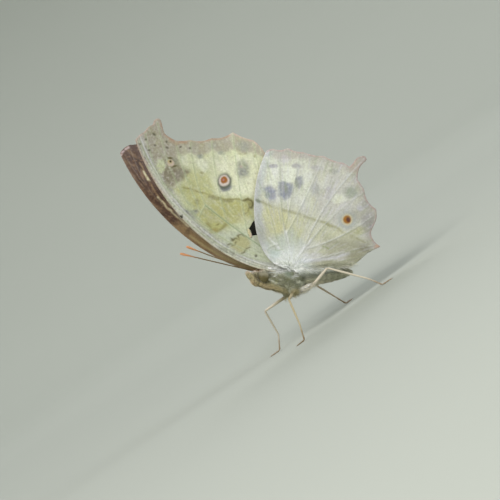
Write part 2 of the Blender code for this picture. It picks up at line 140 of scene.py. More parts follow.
# Forewing: each curve by its handles, each vein by its start, pull and end
FOREWING_BASE = ((1.2, 0.35), (-1.4, -0.7))
FOREWING_COSTA = ((-1.4, -0.7), (-13.6, 0.9), (-26.0, 13.0), (-30.3, 27.7))
# Each later point of the outer margin with the bow of the stretch before it.
FOREWING_MARGIN = (
    ((-28.7, 29.1), 0.1),
    ((-28.0, 29.55), -0.05),
    ((-27.4, 30.2), 0.08),
    ((-26.5, 30.6), 0.1),
    ((-26.2, 31.3), -0.08),
    ((-25.7, 31.8), 0.1),
    ((-24.9, 31.85), 0.12),
    ((-24.55, 31.1), 0.08),
    ((-24.3, 29.9), -0.02),
    ((-23.9, 28.7), -0.08),
    ((-22.9, 27.95), -0.05),
    ((-21.7, 27.25), -0.05),
    ((-18.6, 27.3), -0.15),
    ((-14.1, 27.5), -0.45),
    ((-9.4, 28.6), -0.5),
    ((-5.2, 26.8), -0.25),
    ((-2.4, 23.3), 0.35),
    ((1.2, 0.35), 0.5),
)
FOREWING_VEINS = (
    ((-1.6, 1.3), (-13.0, 3.2), (-20.6, 10.9)),
    ((-0.8, 1.6), (-11.0, 4.1), (-17.8, 11.0)),
    ((-14.6, 7.9), (-20.5, 11.5), (-25.2, 16.4)),
    ((-17.8, 11.0), (-24.2, 16.6), (-28.6, 23.0)),
    ((-22.6, 15.6), (-27.6, 21.8), (-29.4, 27.4)),
    ((-24.6, 18.2), (-27.4, 23.6), (-28.1, 28.9)),
    ((-17.8, 11.0), (-23.4, 18.6), (-25.4, 31.0)),
    ((-17.2, 12.3), (-20.4, 19.6), (-21.7, 26.7)),
    ((-16.2, 13.7), (-18.6, 19.8), (-18.6, 26.8)),
    ((-17.8, 11.0), (-17.3, 12.6), (-16.2, 13.7)),
    ((-0.2, 1.8), (-7.6, 6.4), (-16.2, 13.7)),
    ((-11.9, 10.4), (-13.9, 18.2), (-14.1, 27.0)),
    ((-7.4, 7.0), (-9.1, 16.6), (-9.4, 28.1)),
    ((0.3, 1.7), (-3.2, 13.0), (-5.1, 26.3)),
)
# A tear in the near forewing, the scrap that hangs from it, and the painted shade on the far
# wing's upper side that shows through it, dark as the shaded gap between the wings.
TEAR = ((-5.95, 10.15), (-6.35, 9.6), (-6.8, 8.95), (-7.15, 8.5), (-6.75, 8.2), (-6.6, 7.6),
        (-6.5, 7.05), (-5.0, 7.2), (-5.0, 9.6))
SCRAP = ((-7.45, 8.45), (-7.15, 8.5), (-6.95, 7.95), (-6.7, 7.6), (-6.55, 7.0), (-6.85, 6.55), (-7.05, 6.75),
         (-7.15, 7.2), (-7.45, 7.6))
SHADE_BEHIND_TEAR = ((-3.6, 11.4), (-5.1, 10.5), (-5.3, 8.6), (-4.2, 7.4), (-3.0, 7.8), (-2.8, 10.6))

HINDWING_BASE = ((3.9, -0.65), (0.6, -0.65))
HINDWING_FRONT = ((0.6, -0.15), (-7.2, 0.8), (-8.0, 15.5), (-2.6, 24.3))
HINDWING_MARGIN = (
    ((-1.0, 24.65), 0.1),
    ((0.5, 24.3), -0.08),
    ((1.9, 24.7), -0.08),
    ((3.2, 24.1), 0.08),
    ((5.6, 23.7), -0.06),
    ((9.9, 22.8), -0.25),
    ((14.2, 21.2), -0.25),
    ((15.4, 20.3), 0.05),
    ((16.9, 21.8), -0.15),
    ((18.4, 22.45), 0.15),
    ((19.3, 22.1), 0.15),
    ((19.2, 21.4), 0.1),
    ((17.7, 20.1), -0.1),
    ((17.1, 17.5), -0.15),
    ((18.5, 15.3), 0.1),
    ((18.95, 13.3), -0.1),
    ((20.9, 11.3), -0.2),
    ((20.8, 9.0), 0.1),
    ((19.4, 6.4), 0.0),
    ((21.5, 3.4), -0.5),
    ((18.6, 2.3), 0.0),
    ((14.8, -0.4), 0.1),
    ((9.5, -0.8), 0.1),
    ((3.9, -0.65), 0.0),
)
HINDWING_VEINS = (
    ((1.7, 0.7), (-4.6, 8.0), (-2.3, 23.6)),
    ((-0.9, 4.9), (-2.6, 4.8), (-3.6, 3.9)),
    ((1.9, 0.8), (-1.4, 11.6), (0.4, 23.9)),
    ((0.3, 8.0), (2.8, 15.6), (4.7, 23.5)),
    ((0.7, 6.9), (5.4, 14.0), (9.8, 22.2)),
    ((4.4, 3.8), (8.6, 13.0), (18.9, 21.8)),
    ((2.3, 0.9), (8.4, 9.4), (18.3, 14.9)),
    ((5.0, 3.7), (13.4, 5.4), (20.5, 10.2)),
    ((2.8, 0.6), (11.5, 2.5), (20.8, 3.9)),
    ((3.2, 0.3), (10.0, 0.2), (16.9, 1.5)),
)

# Body: u, centre w, half width, height above and depth below, from brow to tail.
BODY_SECTIONS = (
    (-6.6, -1.5, 0.4, 0.6, 0.6),
    (-6.2, -1.5, 0.8, 1.0, 1.0),
    (-5.6, -1.5, 1.1, 1.4, 1.4),
    (-4.9, -1.5, 1.32, 1.65, 1.6),
    (-4.2, -1.5, 1.42, 1.8, 1.65),
    (-3.4, -1.5, 1.4, 1.88, 1.6),
    (-2.6, -1.55, 1.4, 1.98, 1.65),
    (-1.9, -1.6, 1.55, 2.1, 1.8),
    (-1.0, -1.6, 1.78, 2.2, 2.05),
    (0.3, -1.65, 2.0, 2.35, 2.3),
    (1.5, -1.65, 2.02, 2.32, 2.3),
    (2.6, -1.7, 1.88, 1.95, 2.08),
    (3.4, -1.85, 1.62, 1.62, 1.88),
    (4.1, -2.05, 1.32, 1.32, 1.45),
    (5.4, -2.05, 1.46, 1.46, 1.56),
    (7.2, -1.95, 1.56, 1.56, 1.6),
    (9.6, -1.75, 1.46, 1.46, 1.55),
    (12.0, -1.55, 1.22, 1.22, 1.3),
    (14.0, -1.4, 0.87, 0.87, 0.92),
    (15.1, -1.3, 0.5, 0.5, 0.53),
    (15.5, -1.3, 0.22, 0.22, 0.22),
)
# The skin's voxels, the height of its small lumps, how far it sinks below the hair, and its shade
BODY_VOXEL = 0.085
LUMP_HEIGHT = 0.05
SKIN_SINK = 0.02
SKIN_SHADE = 0.9
# Grooves between the abdomen's segments: where they begin, and how far apart and deep they are
GROOVES_FROM = 4.6
FIRST_SEGMENT = 4.3
SEGMENT_LENGTH = 1.41
GROOVE_DEPTH = 0.05
# Palps and folded forelegs are flat: as wide across as this share of their height.
FLATNESS = 0.62
PALP_PATH = (
    ((-4.8, 0.42, -2.6), 0.8),
    ((-5.4, 0.45, -2.45), 0.68),
    ((-6.0, 0.46, -2.0), 0.6),
    ((-6.45, 0.45, -1.5), 0.56),
    ((-6.95, 0.42, -0.95), 0.5),
    ((-7.3, 0.36, -0.5), 0.36),
    ((-7.6, 0.3, -0.2), 0.13),
)
FORELEG_PATH = (
    ((-5.0, 0.5, -2.6), 0.64),
    ((-3.6, 0.55, -3.1), 0.7),
    ((-2.2, 0.62, -3.4), 0.72),
    ((-0.6, 0.68, -3.8), 0.76),
    ((0.7, 0.7, -4.15), 0.8),
    ((1.8, 0.65, -4.25), 0.68),
    ((2.7, 0.6, -4.1), 0.35),
)
# The hairy root of each walking leg, from the breast to its trochanter.
HIP_START = {"midleg": (0.6, 1.1, -3.0), "hindleg": (2.6, 1.0, -3.0)}
HIP_RADII = {"midleg": (0.85, 0.62, 0.4), "hindleg": (0.85, 0.42, 0.33)}
ANTENNA_PULL = (-12.0, 1.0, 1.9)
ANTENNA_BASE = (-5.05, 0.5, -0.15)
ANTENNA_TIPS = {"L": (-20.9, 3.1, 5.3), "R": (-20.5, 3.2, 4.9)}
CLUB_LENGTH = 3.2
SHAFT_RADIUS = 0.12

# Joints of each leg on the floor's own axes, before the whole was centred.
LEG_JOINTS = {
    "midleg_L": ((-7.4, -1.95, 10.4), (-8.0, -2.8, 9.0), (-10.6, -5.6, 8.6),
                 (-12.9, -9.0, 3.4), (-14.2, -9.6, 0.2), (-16.2, -9.8, 0.2)),
    "midleg_R": ((-7.4, 1.95, 10.4), (-7.7, 2.8, 9.0), (-12.6, 5.0, 8.9),
                 (-11.9, 8.0, 3.1), (-13.3, 9.0, 0.2), (-15.4, 9.8, 0.2)),
    "hindleg_L": ((-6.6, -1.7, 8.9), (-3.2, -2.6, 8.0), (0.65, -4.6, 9.3),
                  (5.7, -8.0, 2.6), (7.0, -8.9, 0.2), (9.1, -9.8, 0.2)),
    "hindleg_R": ((-6.6, 1.7, 8.9), (-4.2, 2.6, 8.5), (-0.7, 4.8, 8.6),
                  (3.1, 8.0, 3.2), (4.9, 9.0, 0.2), (6.9, 9.8, 0.2)),
}
# Each part from the body to the toe: first and last radius, how many rings, and how much it swells
LEG_PARTS = (
    (0.42, 0.34, 8, 0.0),
    (0.33, 0.22, 26, 0.18),
    (0.2, 0.16, 26, 0.18),
    (0.15, 0.15, 14, 0.0),
    (0.14, 0.1, 16, 0.0),
)
FOOT_LEVELS = (0.2, 0.15)
FOOT_RINGS = 30
RINGS_PER_BEAD = 6
FIRST_THORN = 36
# Shares of red, green and blue that each leg keeps
LEG_TINT = {"midleg_L": (0.72, 0.68, 0.52), "hindleg_R": (0.95, 0.84, 0.76)}
BODY_ORIGIN_PLACED = (-6.29, 0.0, 14.3)


def srgb(red, green, blue):
    """A colour given by its screen values, 0 to 255, as linear light."""
    values = np.array((red, green, blue)) / 255.0
    return np.where(values <= 0.04045, values / 12.92, ((values + 0.055) / 1.055) ** 2.4)


def mix(one, two, share):
    """Two colours mixed at each place by its share of the second."""
    return one * (1 - share)[:, None] + two * share[:, None]


def ease(low, high, value):
    """0 at low, 1 at high, smooth between them."""
    t = np.clip((value - low) / (high - low), 0.0, 1.0)
    return t * t * (3 - 2 * t)


def unit(vectors):
    """One vector, or each of many, made one long."""
    if vectors.ndim == 1:
        return vectors / np.linalg.norm(vectors)
    return vectors / np.maximum(np.linalg.norm(vectors, axis=1), TINY)[:, None]


def find_origin():
    """The body's origin on the frame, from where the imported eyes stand."""
    corners = [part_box("eye_" + letter) for letter in "LR"]
    centre = sum((low + high for low, high in corners), Vector()) / 4 / MM
    u, _, w = EYE_PLACE
    cos, sin = math.cos(BODY_PITCH), math.sin(BODY_PITCH)
    return np.array((centre.x - cos * u - sin * w, centre.y, centre.z + sin * u - cos * w))


def in_world(points):
    """Points (u, y, w) on the body's axes, on the frame's own axes."""
    u, y, w = np.asarray(points, float).reshape(-1, 3).T
    cos, sin = math.cos(BODY_PITCH), math.sin(BODY_PITCH)
    return np.stack((ORIGIN[0] + cos * u + sin * w, ORIGIN[1] + y, ORIGIN[2] - sin * u + cos * w), 1)


def camber_at(points):
    """How far a wing's middle bulges outwards."""
    reach = np.linalg.norm(points - np.array(CAMBER_CENTRE), axis=1) / CAMBER_REACH
    return CAMBER * np.exp(-reach * reach)


def wing_in_world(places, rise, side, root):
    """Places (u, w) of a wing's plane, raised outwards by rise, on the frame's axes."""
    u, w = places.T
    cos, sin = math.cos(WING_TILT), math.sin(WING_TILT)
    return in_world(np.stack((u, side * (root + w * sin + rise * cos), w * cos - rise * sin), 1))


def curve_between(start, pull, end, count):
    """Points of a quadratic curve from start to end, drawn towards pull."""
    t = np.linspace(0.0, 1.0, count)[:, None]
    return (1 - t) ** 2 * np.array(start) + 2 * t * (1 - t) * np.array(pull) + t ** 2 * np.array(end)


def cubic_curve(handles, step):
    """Points of a cubic curve with four handles, about step apart."""
    a, b, c, d = (np.array(p) for p in handles)
    count = int(np.linalg.norm(d - a) / step) + 2
    t = np.linspace(0.0, 1.0, count)[:, None]
    s = 1 - t
    return s ** 3 * a + 3 * s * s * t * b + 3 * s * t * t * c + t ** 3 * d


def bowed_span(start, end, bow, step):
    """Points from start to end, bowed to the left of its direction, without the start."""
    start = np.array(start)
    end = np.array(end)
    along = end - start
    length = np.linalg.norm(along)
    across = np.array((-along[1], along[0])) / length
    count = max(1, int(length / step + 0.5))
    t = (np.arange(1, count + 1) / count)[:, None]
    return start + along * t + across * bow * 4 * t * (1 - t)


def wing_outline(leading, margin, base):
    """The closed edge of a wing with its corners eased, and which of its points fringe it."""
    parts = [cubic_curve(leading, EDGE_STEP)]
    for target, bow in margin:
        parts.append(bowed_span(parts[-1][-1], target, bow, EDGE_STEP))
    fringe = np.concatenate([[False] * len(parts[0])]
                            + [[True] * len(p) for p in parts[1:-1]] + [[False] * len(parts[-1])])
    parts.append(bowed_span(base[0], base[1], 0.0, EDGE_STEP)[:-1])
    points = np.concatenate(parts)
    fringe = np.concatenate((fringe, [False] * len(parts[-1])))
    for _ in range(4):
        points = 0.5 * points + 0.25 * (np.roll(points, 1, 0) + np.roll(points, -1, 0))
    return points, fringe


def distance_to(points, line):
    """Distance of each point to a line of straight stretches."""
    line = np.asarray(line, float)
    best = np.full(len(points), FAR_AWAY)
    for start, end in zip(line, line[1:]):
        along = end - start
        t = np.clip((points - start) @ along / max(along @ along, 1e-12), 0.0, 1.0)
        best = np.minimum(best, np.linalg.norm(points - start - t[:, None] * along, axis=1))
    return best


def inside(points, outline):
    """Whether each point lies inside a closed outline."""
    x, y = points.T
    result = np.zeros(len(points), bool)
    outline = np.asarray(outline, float)
    for (ax, ay), (bx, by) in zip(outline, np.roll(outline, -1, 0)):
        if ay == by:
            continue
        crosses = (ay > y) != (by > y)
        result ^= crosses & (x < (bx - ax) * (y - ay) / (by - ay) + ax)
    return result


def closed(line):
    """A line that returns to its first point."""
    return np.concatenate((line, line[:1]))


def wing_grid(outline, hole):
    """Triangles that fill a wing's outline evenly, but for a hole."""
    low = outline.min(0)
    high = outline.max(0)
    columns = np.arange(low[0], high[0], MESH_STEP)
    rows = np.arange(low[1], high[1], MESH_STEP * 0.866)
    u, w = np.meshgrid(columns, rows)
    u = u + (np.arange(len(rows)) % 2)[:, None] * MESH_STEP / 2
    places = np.stack((u.ravel(), w.ravel()), 1)
    places = places[inside(places, outline)]
    places = places[distance_to(places, closed(outline)) > 0.55 * MESH_STEP]
    loops = [outline]
    if hole is not None:
        loops.append(hole)
        places = places[~inside(places, hole)]
        places = places[distance_to(places, closed(hole)) > 0.55 * MESH_STEP]
    edges = []
    first = 0
    for loop in loops:
        count = len(loop)
        edges += [(first + i, first + (i + 1) % count) for i in range(count)]
        first += count
    points = np.concatenate(loops + [places])
    flat = delaunay_2d_cdt([Vector(p) for p in points], edges, [], 1, 1e-6)
    corners = np.array([(c.x, c.y) for c in flat[0]])
    faces = np.array([f for f in flat[2] if len(f) == 3])
    if hole is not None:
        faces = faces[~inside(corners[faces].mean(1), hole)]
    return corners, faces


def rim_of(faces):
    """Edges that only one triangle has, in that triangle's direction."""
    edges = np.concatenate((faces[:, [0, 1]], faces[:, [1, 2]], faces[:, [2, 0]]))
    ordered = np.sort(edges, axis=1)
    _, back, counts = np.unique(ordered, axis=0, return_inverse=True, return_counts=True)
    return edges[counts[back.ravel()] == 1]


def drift(points, size, reach, seed):
    """Points moved by a smooth noise, so that edges drawn on them aren't ruled."""
    moved = np.array([noise.noise_vector(Vector((x / size, y / size, seed)))[:2] for x, y in points])
    return points + moved * reach


def speckle(points, size, seed):
    """A smooth noise from -1 to 1 at each point."""
    return np.array([noise.noise(Vector((x / size, y / size, seed))) for x, y in points])


class Canvas:
    """Colours laid over places of a wing, one mark after another."""

    def __init__(self, points, ground, size=1.0, reach=0.0, seed=0.0):
        self.plain = points
        self.points = drift(points, size, reach, seed) if reach else points
        self.colour = np.tile(srgb(*ground), (len(points), 1))

    def lay(self, colour, mask):
        """Mix a colour, given by its screen values, in by a mask."""
        self.colour += (srgb(*colour) - self.colour) * mask[:, None]

    def marks(self, table):
        """Lay the marks of a table in turn: each is a kind, and then what that kind takes."""
        kinds = {"field": self.field, "stroke": self.stroke, "spot": self.spot,
                 "clouds": self.clouds, "streaks": self.streaks}
        for kind, *values in table:
            kinds[kind](*values)

    def spot(self, centre, size, colour, strength=1.0, edge=0.5, turn=0.0):
        """An oval with a soft edge. size is its two half widths and edge the soft share of them."""
        offset = self.points - np.array(centre)
        cos, sin = math.cos(math.radians(turn)), math.sin(math.radians(turn))
        along = (offset[:, 0] * cos + offset[:, 1] * sin) / size[0]
        across = (offset[:, 1] * cos - offset[:, 0] * sin) / size[1]
        self.lay(colour, strength * (1 - ease(1 - edge, 1 + edge, np.hypot(along, across))))

    def stroke(self, line, width, colour, edge=0.25, strength=1.0, ruled=False, gaps=0.0):
        """A line of that half width, softened over edge. A ruled one doesn't drift; gaps weaken it."""
        away = distance_to(self.plain if ruled else self.points, line)
        mask = strength * (1 - ease(width - edge / 2, width + edge / 2, away))
        near = mask > 0
        if gaps:
            mask[near] *= 1 - gaps * ease(-0.15, 0.35, speckle(self.plain[near], 1.1, 61.0))
        self.lay(colour, mask)

    def field(self, outline, colour, edge=0.6, strength=1.0):
        """A closed area with a soft edge."""
        outline = np.asarray(outline, float)
        away = distance_to(self.points, closed(outline))
        away = np.where(inside(self.points, outline), away, -away)
        self.lay(colour, strength * ease(-edge / 2, edge / 2, away))

    def tone(self, factor, tint=(1.0, 1.0, 1.0)):
        """Make every colour lighter or darker, and tint it."""
        self.colour *= factor[:, None] * np.array(tint)

    def clouds(self, colour, size, seed, strength):
        """Faint clouds of a colour."""
        self.lay(colour, strength * ease(0.0, 0.55, speckle(self.plain, size, seed)))

    def streaks(self, colour, seed, strength, fine=38.0):
        """Fine streaks of a colour that run out from the wing's base."""
        away = self.plain - np.array(STREAK_CENTRE)
        angle = np.arctan2(away[:, 1], away[:, 0]) * fine
        reach = np.linalg.norm(away, axis=1) * 0.3
        self.lay(colour, strength * ease(0.0, 0.6, speckle(np.stack((angle, reach), 1), 1.0, seed)))


def eyespot(canvas, centre, layers):
    """Rings from the outside in: each is an offset, two half widths, a colour and a soft edge."""
    for offset, size, colour, edge in layers:
        canvas.spot(np.array(centre) + np.array(offset), size, colour, 1.0, edge)


# Colours of the underside, as the screen shows them
CREAM = (208, 212, 182)
WHITE = (226, 229, 210)
GREEN_WHITE = (206, 214, 186)
YELLOW_OLIVE = (188, 188, 128)
DEEP_YELLOW = (176, 170, 104)
OLIVE = (140, 134, 84)
DARK_OLIVE = (104, 98, 62)
GREY_MAUVE = (170, 163, 152)
WARM_GREY = (134, 126, 108)
BLUE_GREY = (148, 152, 152)
SLATE = (128, 132, 140)
LILAC = (204, 202, 210)
PINK = (202, 178, 170)
SALMON = (182, 140, 108)
VEIN_GREEN = (150, 162, 126)
SPECK = (90, 86, 72)
BASE_GREY = (188, 196, 184)
FIELD_OLIVE = (160, 158, 132)

# Colours of the upper side
PEARL = (222, 222, 208)
BROWN = (86, 62, 48)
DEEP_BROWN = (60, 44, 36)
TAN = (176, 148, 112)
# Painted shade, for the place behind the tear
SHADOW = (22, 20, 16)


# Marks of the forewing's underside, in the order in which they are laid
FOREWING_GROUND = (
    # Large fields
    ("field", ((-22.5, 17.5), (-19.2, 18.5), (-15.6, 16.6), (-12.1, 15.1), (-6.2, 14.6), (-6.0, 11.0),
        (-12.0, 8.5), (-16.5, 8.0), (-20.5, 11.5)), YELLOW_OLIVE, 2.2, 0.8),
    ("field", ((-20.2, 21.2), (-16.2, 20.8), (-13.4, 17.4), (-14.5, 15.8), (-20.6, 17.2)), YELLOW_OLIVE,
        1.8, 0.6),
    ("field", ((-17.4, 12.6), (-11.0, 14.6), (-6.8, 13.6), (-7.2, 11.0), (-12.4, 9.6), (-15.6, 9.4)),
        DEEP_YELLOW, 2.0, 0.35),
    ("field", ((-17.0, 8.8), (-9.0, 8.3), (-4.0, 8.0), (2.0, 0.0), (-6.0, 0.0), (-13.0, 4.0)), BASE_GREY,
        2.6, 0.75),
    ("field", ((-22.6, 16.8), (-20.0, 16.0), (-17.6, 10.4), (-20.4, 11.0), (-22.6, 14.0)), GREEN_WHITE, 1.4,
        0.5),
    # Whites outside the discal line
    ("field", ((-20.9, 24.0), (-19.5, 24.2), (-19.4, 22.0), (-20.7, 22.1)), WHITE, 0.5),
    ("field", ((-17.9, 23.3), (-15.3, 23.6), (-15.2, 21.5), (-15.9, 20.6), (-17.2, 21.6)), WHITE, 0.8, 0.9),
    ("field", ((-13.6, 24.0), (-11.2, 24.2), (-10.6, 20.4), (-13.2, 20.9)), WHITE, 0.9),
    ("field", ((-9.3, 24.3), (-8.1, 24.0), (-8.2, 22.7), (-9.3, 22.6)), WHITE, 0.6),
    ("field", ((-9.6, 19.4), (-5.2, 19.0), (-4.9, 15.6), (-9.9, 15.6)), WHITE, 1.2, 0.6),
    ("field", ((-14.4, 19.6), (-12.6, 17.0), (-10.2, 16.8), (-10.4, 15.4), (-14.2, 16.2)), WHITE, 1.2, 0.5),
    ("field", ((-5.4, 23.2), (-3.6, 22.4), (-2.0, 12.0), (-5.0, 12.5)), WHITE, 0.8, 0.8),
    ("field", ((-14.0, 23.2), (-4.0, 23.0), (-4.0, 15.4), (-13.0, 16.4)), (224, 224, 204), 2.0, 0.4),
    # Marginal band, apex and the costa's band
    ("field", ((-26.0, 33.0), (-23.8, 27.5), (-20.0, 28.5), (-9.4, 30.0), (-1.0, 26.0), (-2.6, 23.0),
        (-4.4, 23.6), (-5.6, 24.3), (-7.2, 23.9), (-9.4, 25.0), (-11.8, 24.4), (-14.0, 25.0), (-16.6, 23.7),
        (-18.9, 24.7), (-21.0, 24.3), (-23.5, 25.2)), GREY_MAUVE, 0.9, 0.9),
    ("field", ((-31.5, 28.0), (-28.0, 31.0), (-24.5, 32.5), (-23.2, 27.4), (-21.7, 24.8), (-21.6, 19.0),
        (-24.0, 16.8), (-26.5, 17.0)), GREY_MAUVE, 1.4, 0.95),
    ("field", ((-25.4, 21.1), (-23.4, 22.0), (-20.7, 21.5), (-20.0, 20.7), (-21.3, 19.0), (-23.0, 17.9),
        (-24.9, 18.8)), WARM_GREY, 0.9, 0.7),
    ("field", ((-24.4, 22.2), (-21.2, 22.6), (-19.2, 20.8), (-20.4, 19.2), (-22.6, 18.9), (-24.6, 19.8)),
        WARM_GREY, 1.0, 0.85),
    ("field", ((-29.4, 25.4), (-27.6, 25.2), (-27.9, 23.7), (-28.9, 22.9)), WARM_GREY, 0.8, 0.7),
)

FOREWING_CLOUDS = (
    # Grey clouds
    ("spot", (-24.1, 18.3), (1.0, 0.9), WARM_GREY, 0.7),
    ("spot", (-23.0, 19.6), (0.6, 1.3), WARM_GREY, 0.5),
    ("spot", (-22.2, 20.2), (1.2, 1.0), WARM_GREY, 0.55),
    ("spot", (-23.6, 17.1), (0.7, 0.5), SLATE, 0.5),
    ("spot", (-19.9, 20.9), (0.8, 0.4), WARM_GREY, 0.6),
    ("spot", (-20.5, 12.4), (0.8, 0.75), SLATE, 0.95),
    ("spot", (-18.7, 12.5), (1.0, 0.5), SLATE, 0.95),
    ("spot", (-19.4, 11.5), (1.2, 0.7), BLUE_GREY, 0.75),
    ("spot", (-18.0, 14.6), (0.45, 0.6), OLIVE, 0.75),
    ("spot", (-16.6, 23.8), (0.8, 0.45), BLUE_GREY, 0.8),
    ("spot", (-12.2, 24.4), (0.8, 0.4), BLUE_GREY, 0.6),
    ("spot", (-7.4, 25.5), (1.5, 1.0), BLUE_GREY, 0.6),
    ("spot", (-7.5, 24.0), (0.9, 0.25), OLIVE, 0.35),
    ("spot", (-7.8, 20.9), (1.5, 1.75), (146, 148, 144), 0.95),
    ("spot", (-7.9, 20.1), (1.0, 0.6), SLATE, 0.4),
    ("spot", (-16.5, 20.5), (0.35, 0.3), OLIVE, 0.7),
    ("spot", (-15.7, 7.4), (0.6, 0.4), SLATE, 0.7),
    ("spot", (-14.6, 6.4), (0.5, 0.35), BLUE_GREY, 0.6),
    ("spot", (-12.1, 4.8), (0.5, 0.25), SPECK, 0.6),
    ("spot", (-5.0, 23.4), (0.3, 0.3), OLIVE, 0.6),
    ("spot", (-9.4, 9.0), (2.2, 0.7), GREEN_WHITE, 0.5),
    ("spot", (-14.0, 26.0), (0.9, 0.7), BLUE_GREY, 0.4),
    ("spot", (-4.6, 9.6), (1.6, 1.8), (204, 212, 190), 0.5),
    # The pearly streak below the apex
    ("stroke", ((-28.4, 23.2), (-27.4, 20.9), (-26.0, 18.5), (-24.2, 15.9)), 0.3, PINK, 0.5, 0.6),
    ("field", ((-25.8, 23.6), (-24.7, 23.7), (-24.2, 22.2), (-24.5, 21.1), (-25.3, 20.7), (-26.2, 22.1)),
        (210, 218, 184), 0.5),
    # Natural unevenness
    ("clouds", LILAC, 2.4, 21.0, 0.16),
    ("clouds", YELLOW_OLIVE, 1.9, 22.0, 0.22),
    ("clouds", GREY_MAUVE, 0.7, 23.0, 0.24),
    ("clouds", WHITE, 0.55, 24.0, 0.24),
    ("clouds", OLIVE, 0.42, 29.0, 0.14),
    ("streaks", VEIN_GREEN, 25.0, 0.3),
    ("streaks", WHITE, 26.0, 0.22),
)

FOREWING_FIGURES = (
    # Discal line and the olive figures inside it
    ("stroke", ((-20.6, 17.6), (-19.2, 17.2), (-17.0, 16.4), (-15.1, 15.8), (-13.9, 15.4), (-12.1, 14.9),
        (-9.4, 14.7), (-8.1, 14.4), (-7.1, 14.7)), 0.16, OLIVE, 0.4, 0.85, False, 0.5),
    ("stroke", ((-15.3, 15.4), (-13.2, 14.9)), 0.28, DARK_OLIVE, 0.5, 0.5),
    ("stroke", ((-12.4, 14.6), (-10.4, 14.4)), 0.28, DARK_OLIVE, 0.5, 0.45),
    ("field", ((-7.7, 14.7), (-6.9, 14.9), (-6.0, 14.4), (-5.8, 13.2), (-6.4, 12.7), (-7.0, 13.2)), OLIVE,
        0.6, 0.6),
    ("stroke", ((-7.8, 14.3), (-7.1, 14.6), (-6.3, 14.2), (-6.0, 13.5), (-6.1, 12.9), (-6.8, 12.8),
        (-6.9, 13.4)), 0.2, DARK_OLIVE, 0.45, 0.8, False, 0.5),
    ("stroke", ((-7.0, 12.6), (-7.4, 11.9), (-7.9, 11.6)), 0.16, OLIVE, 0.35, 0.7, False, 0.5),
    ("field", ((-16.0, 9.8), (-15.3, 8.4), (-14.0, 8.0), (-12.2, 9.2), (-13.6, 10.2)), YELLOW_OLIVE, 0.9,
        0.8),
    ("stroke", ((-15.9, 10.1), (-15.3, 8.7), (-14.3, 8.15), (-13.1, 8.7), (-12.0, 9.6)), 0.25, OLIVE, 0.7,
        0.75),
    ("spot", (-14.6, 8.6), (0.9, 0.4), (164, 150, 92), 0.7, 0.7, 20.0),
    ("spot", (-13.8, 9.75), (0.4, 0.2), OLIVE, 0.8, 0.5, 20.0),
    ("field", ((-10.8, 6.3), (-9.2, 7.3), (-7.6, 6.9), (-6.9, 5.6), (-7.8, 4.2), (-9.4, 3.5), (-11.2, 4.9)),
        (182, 178, 130), 1.1, 0.8),
)


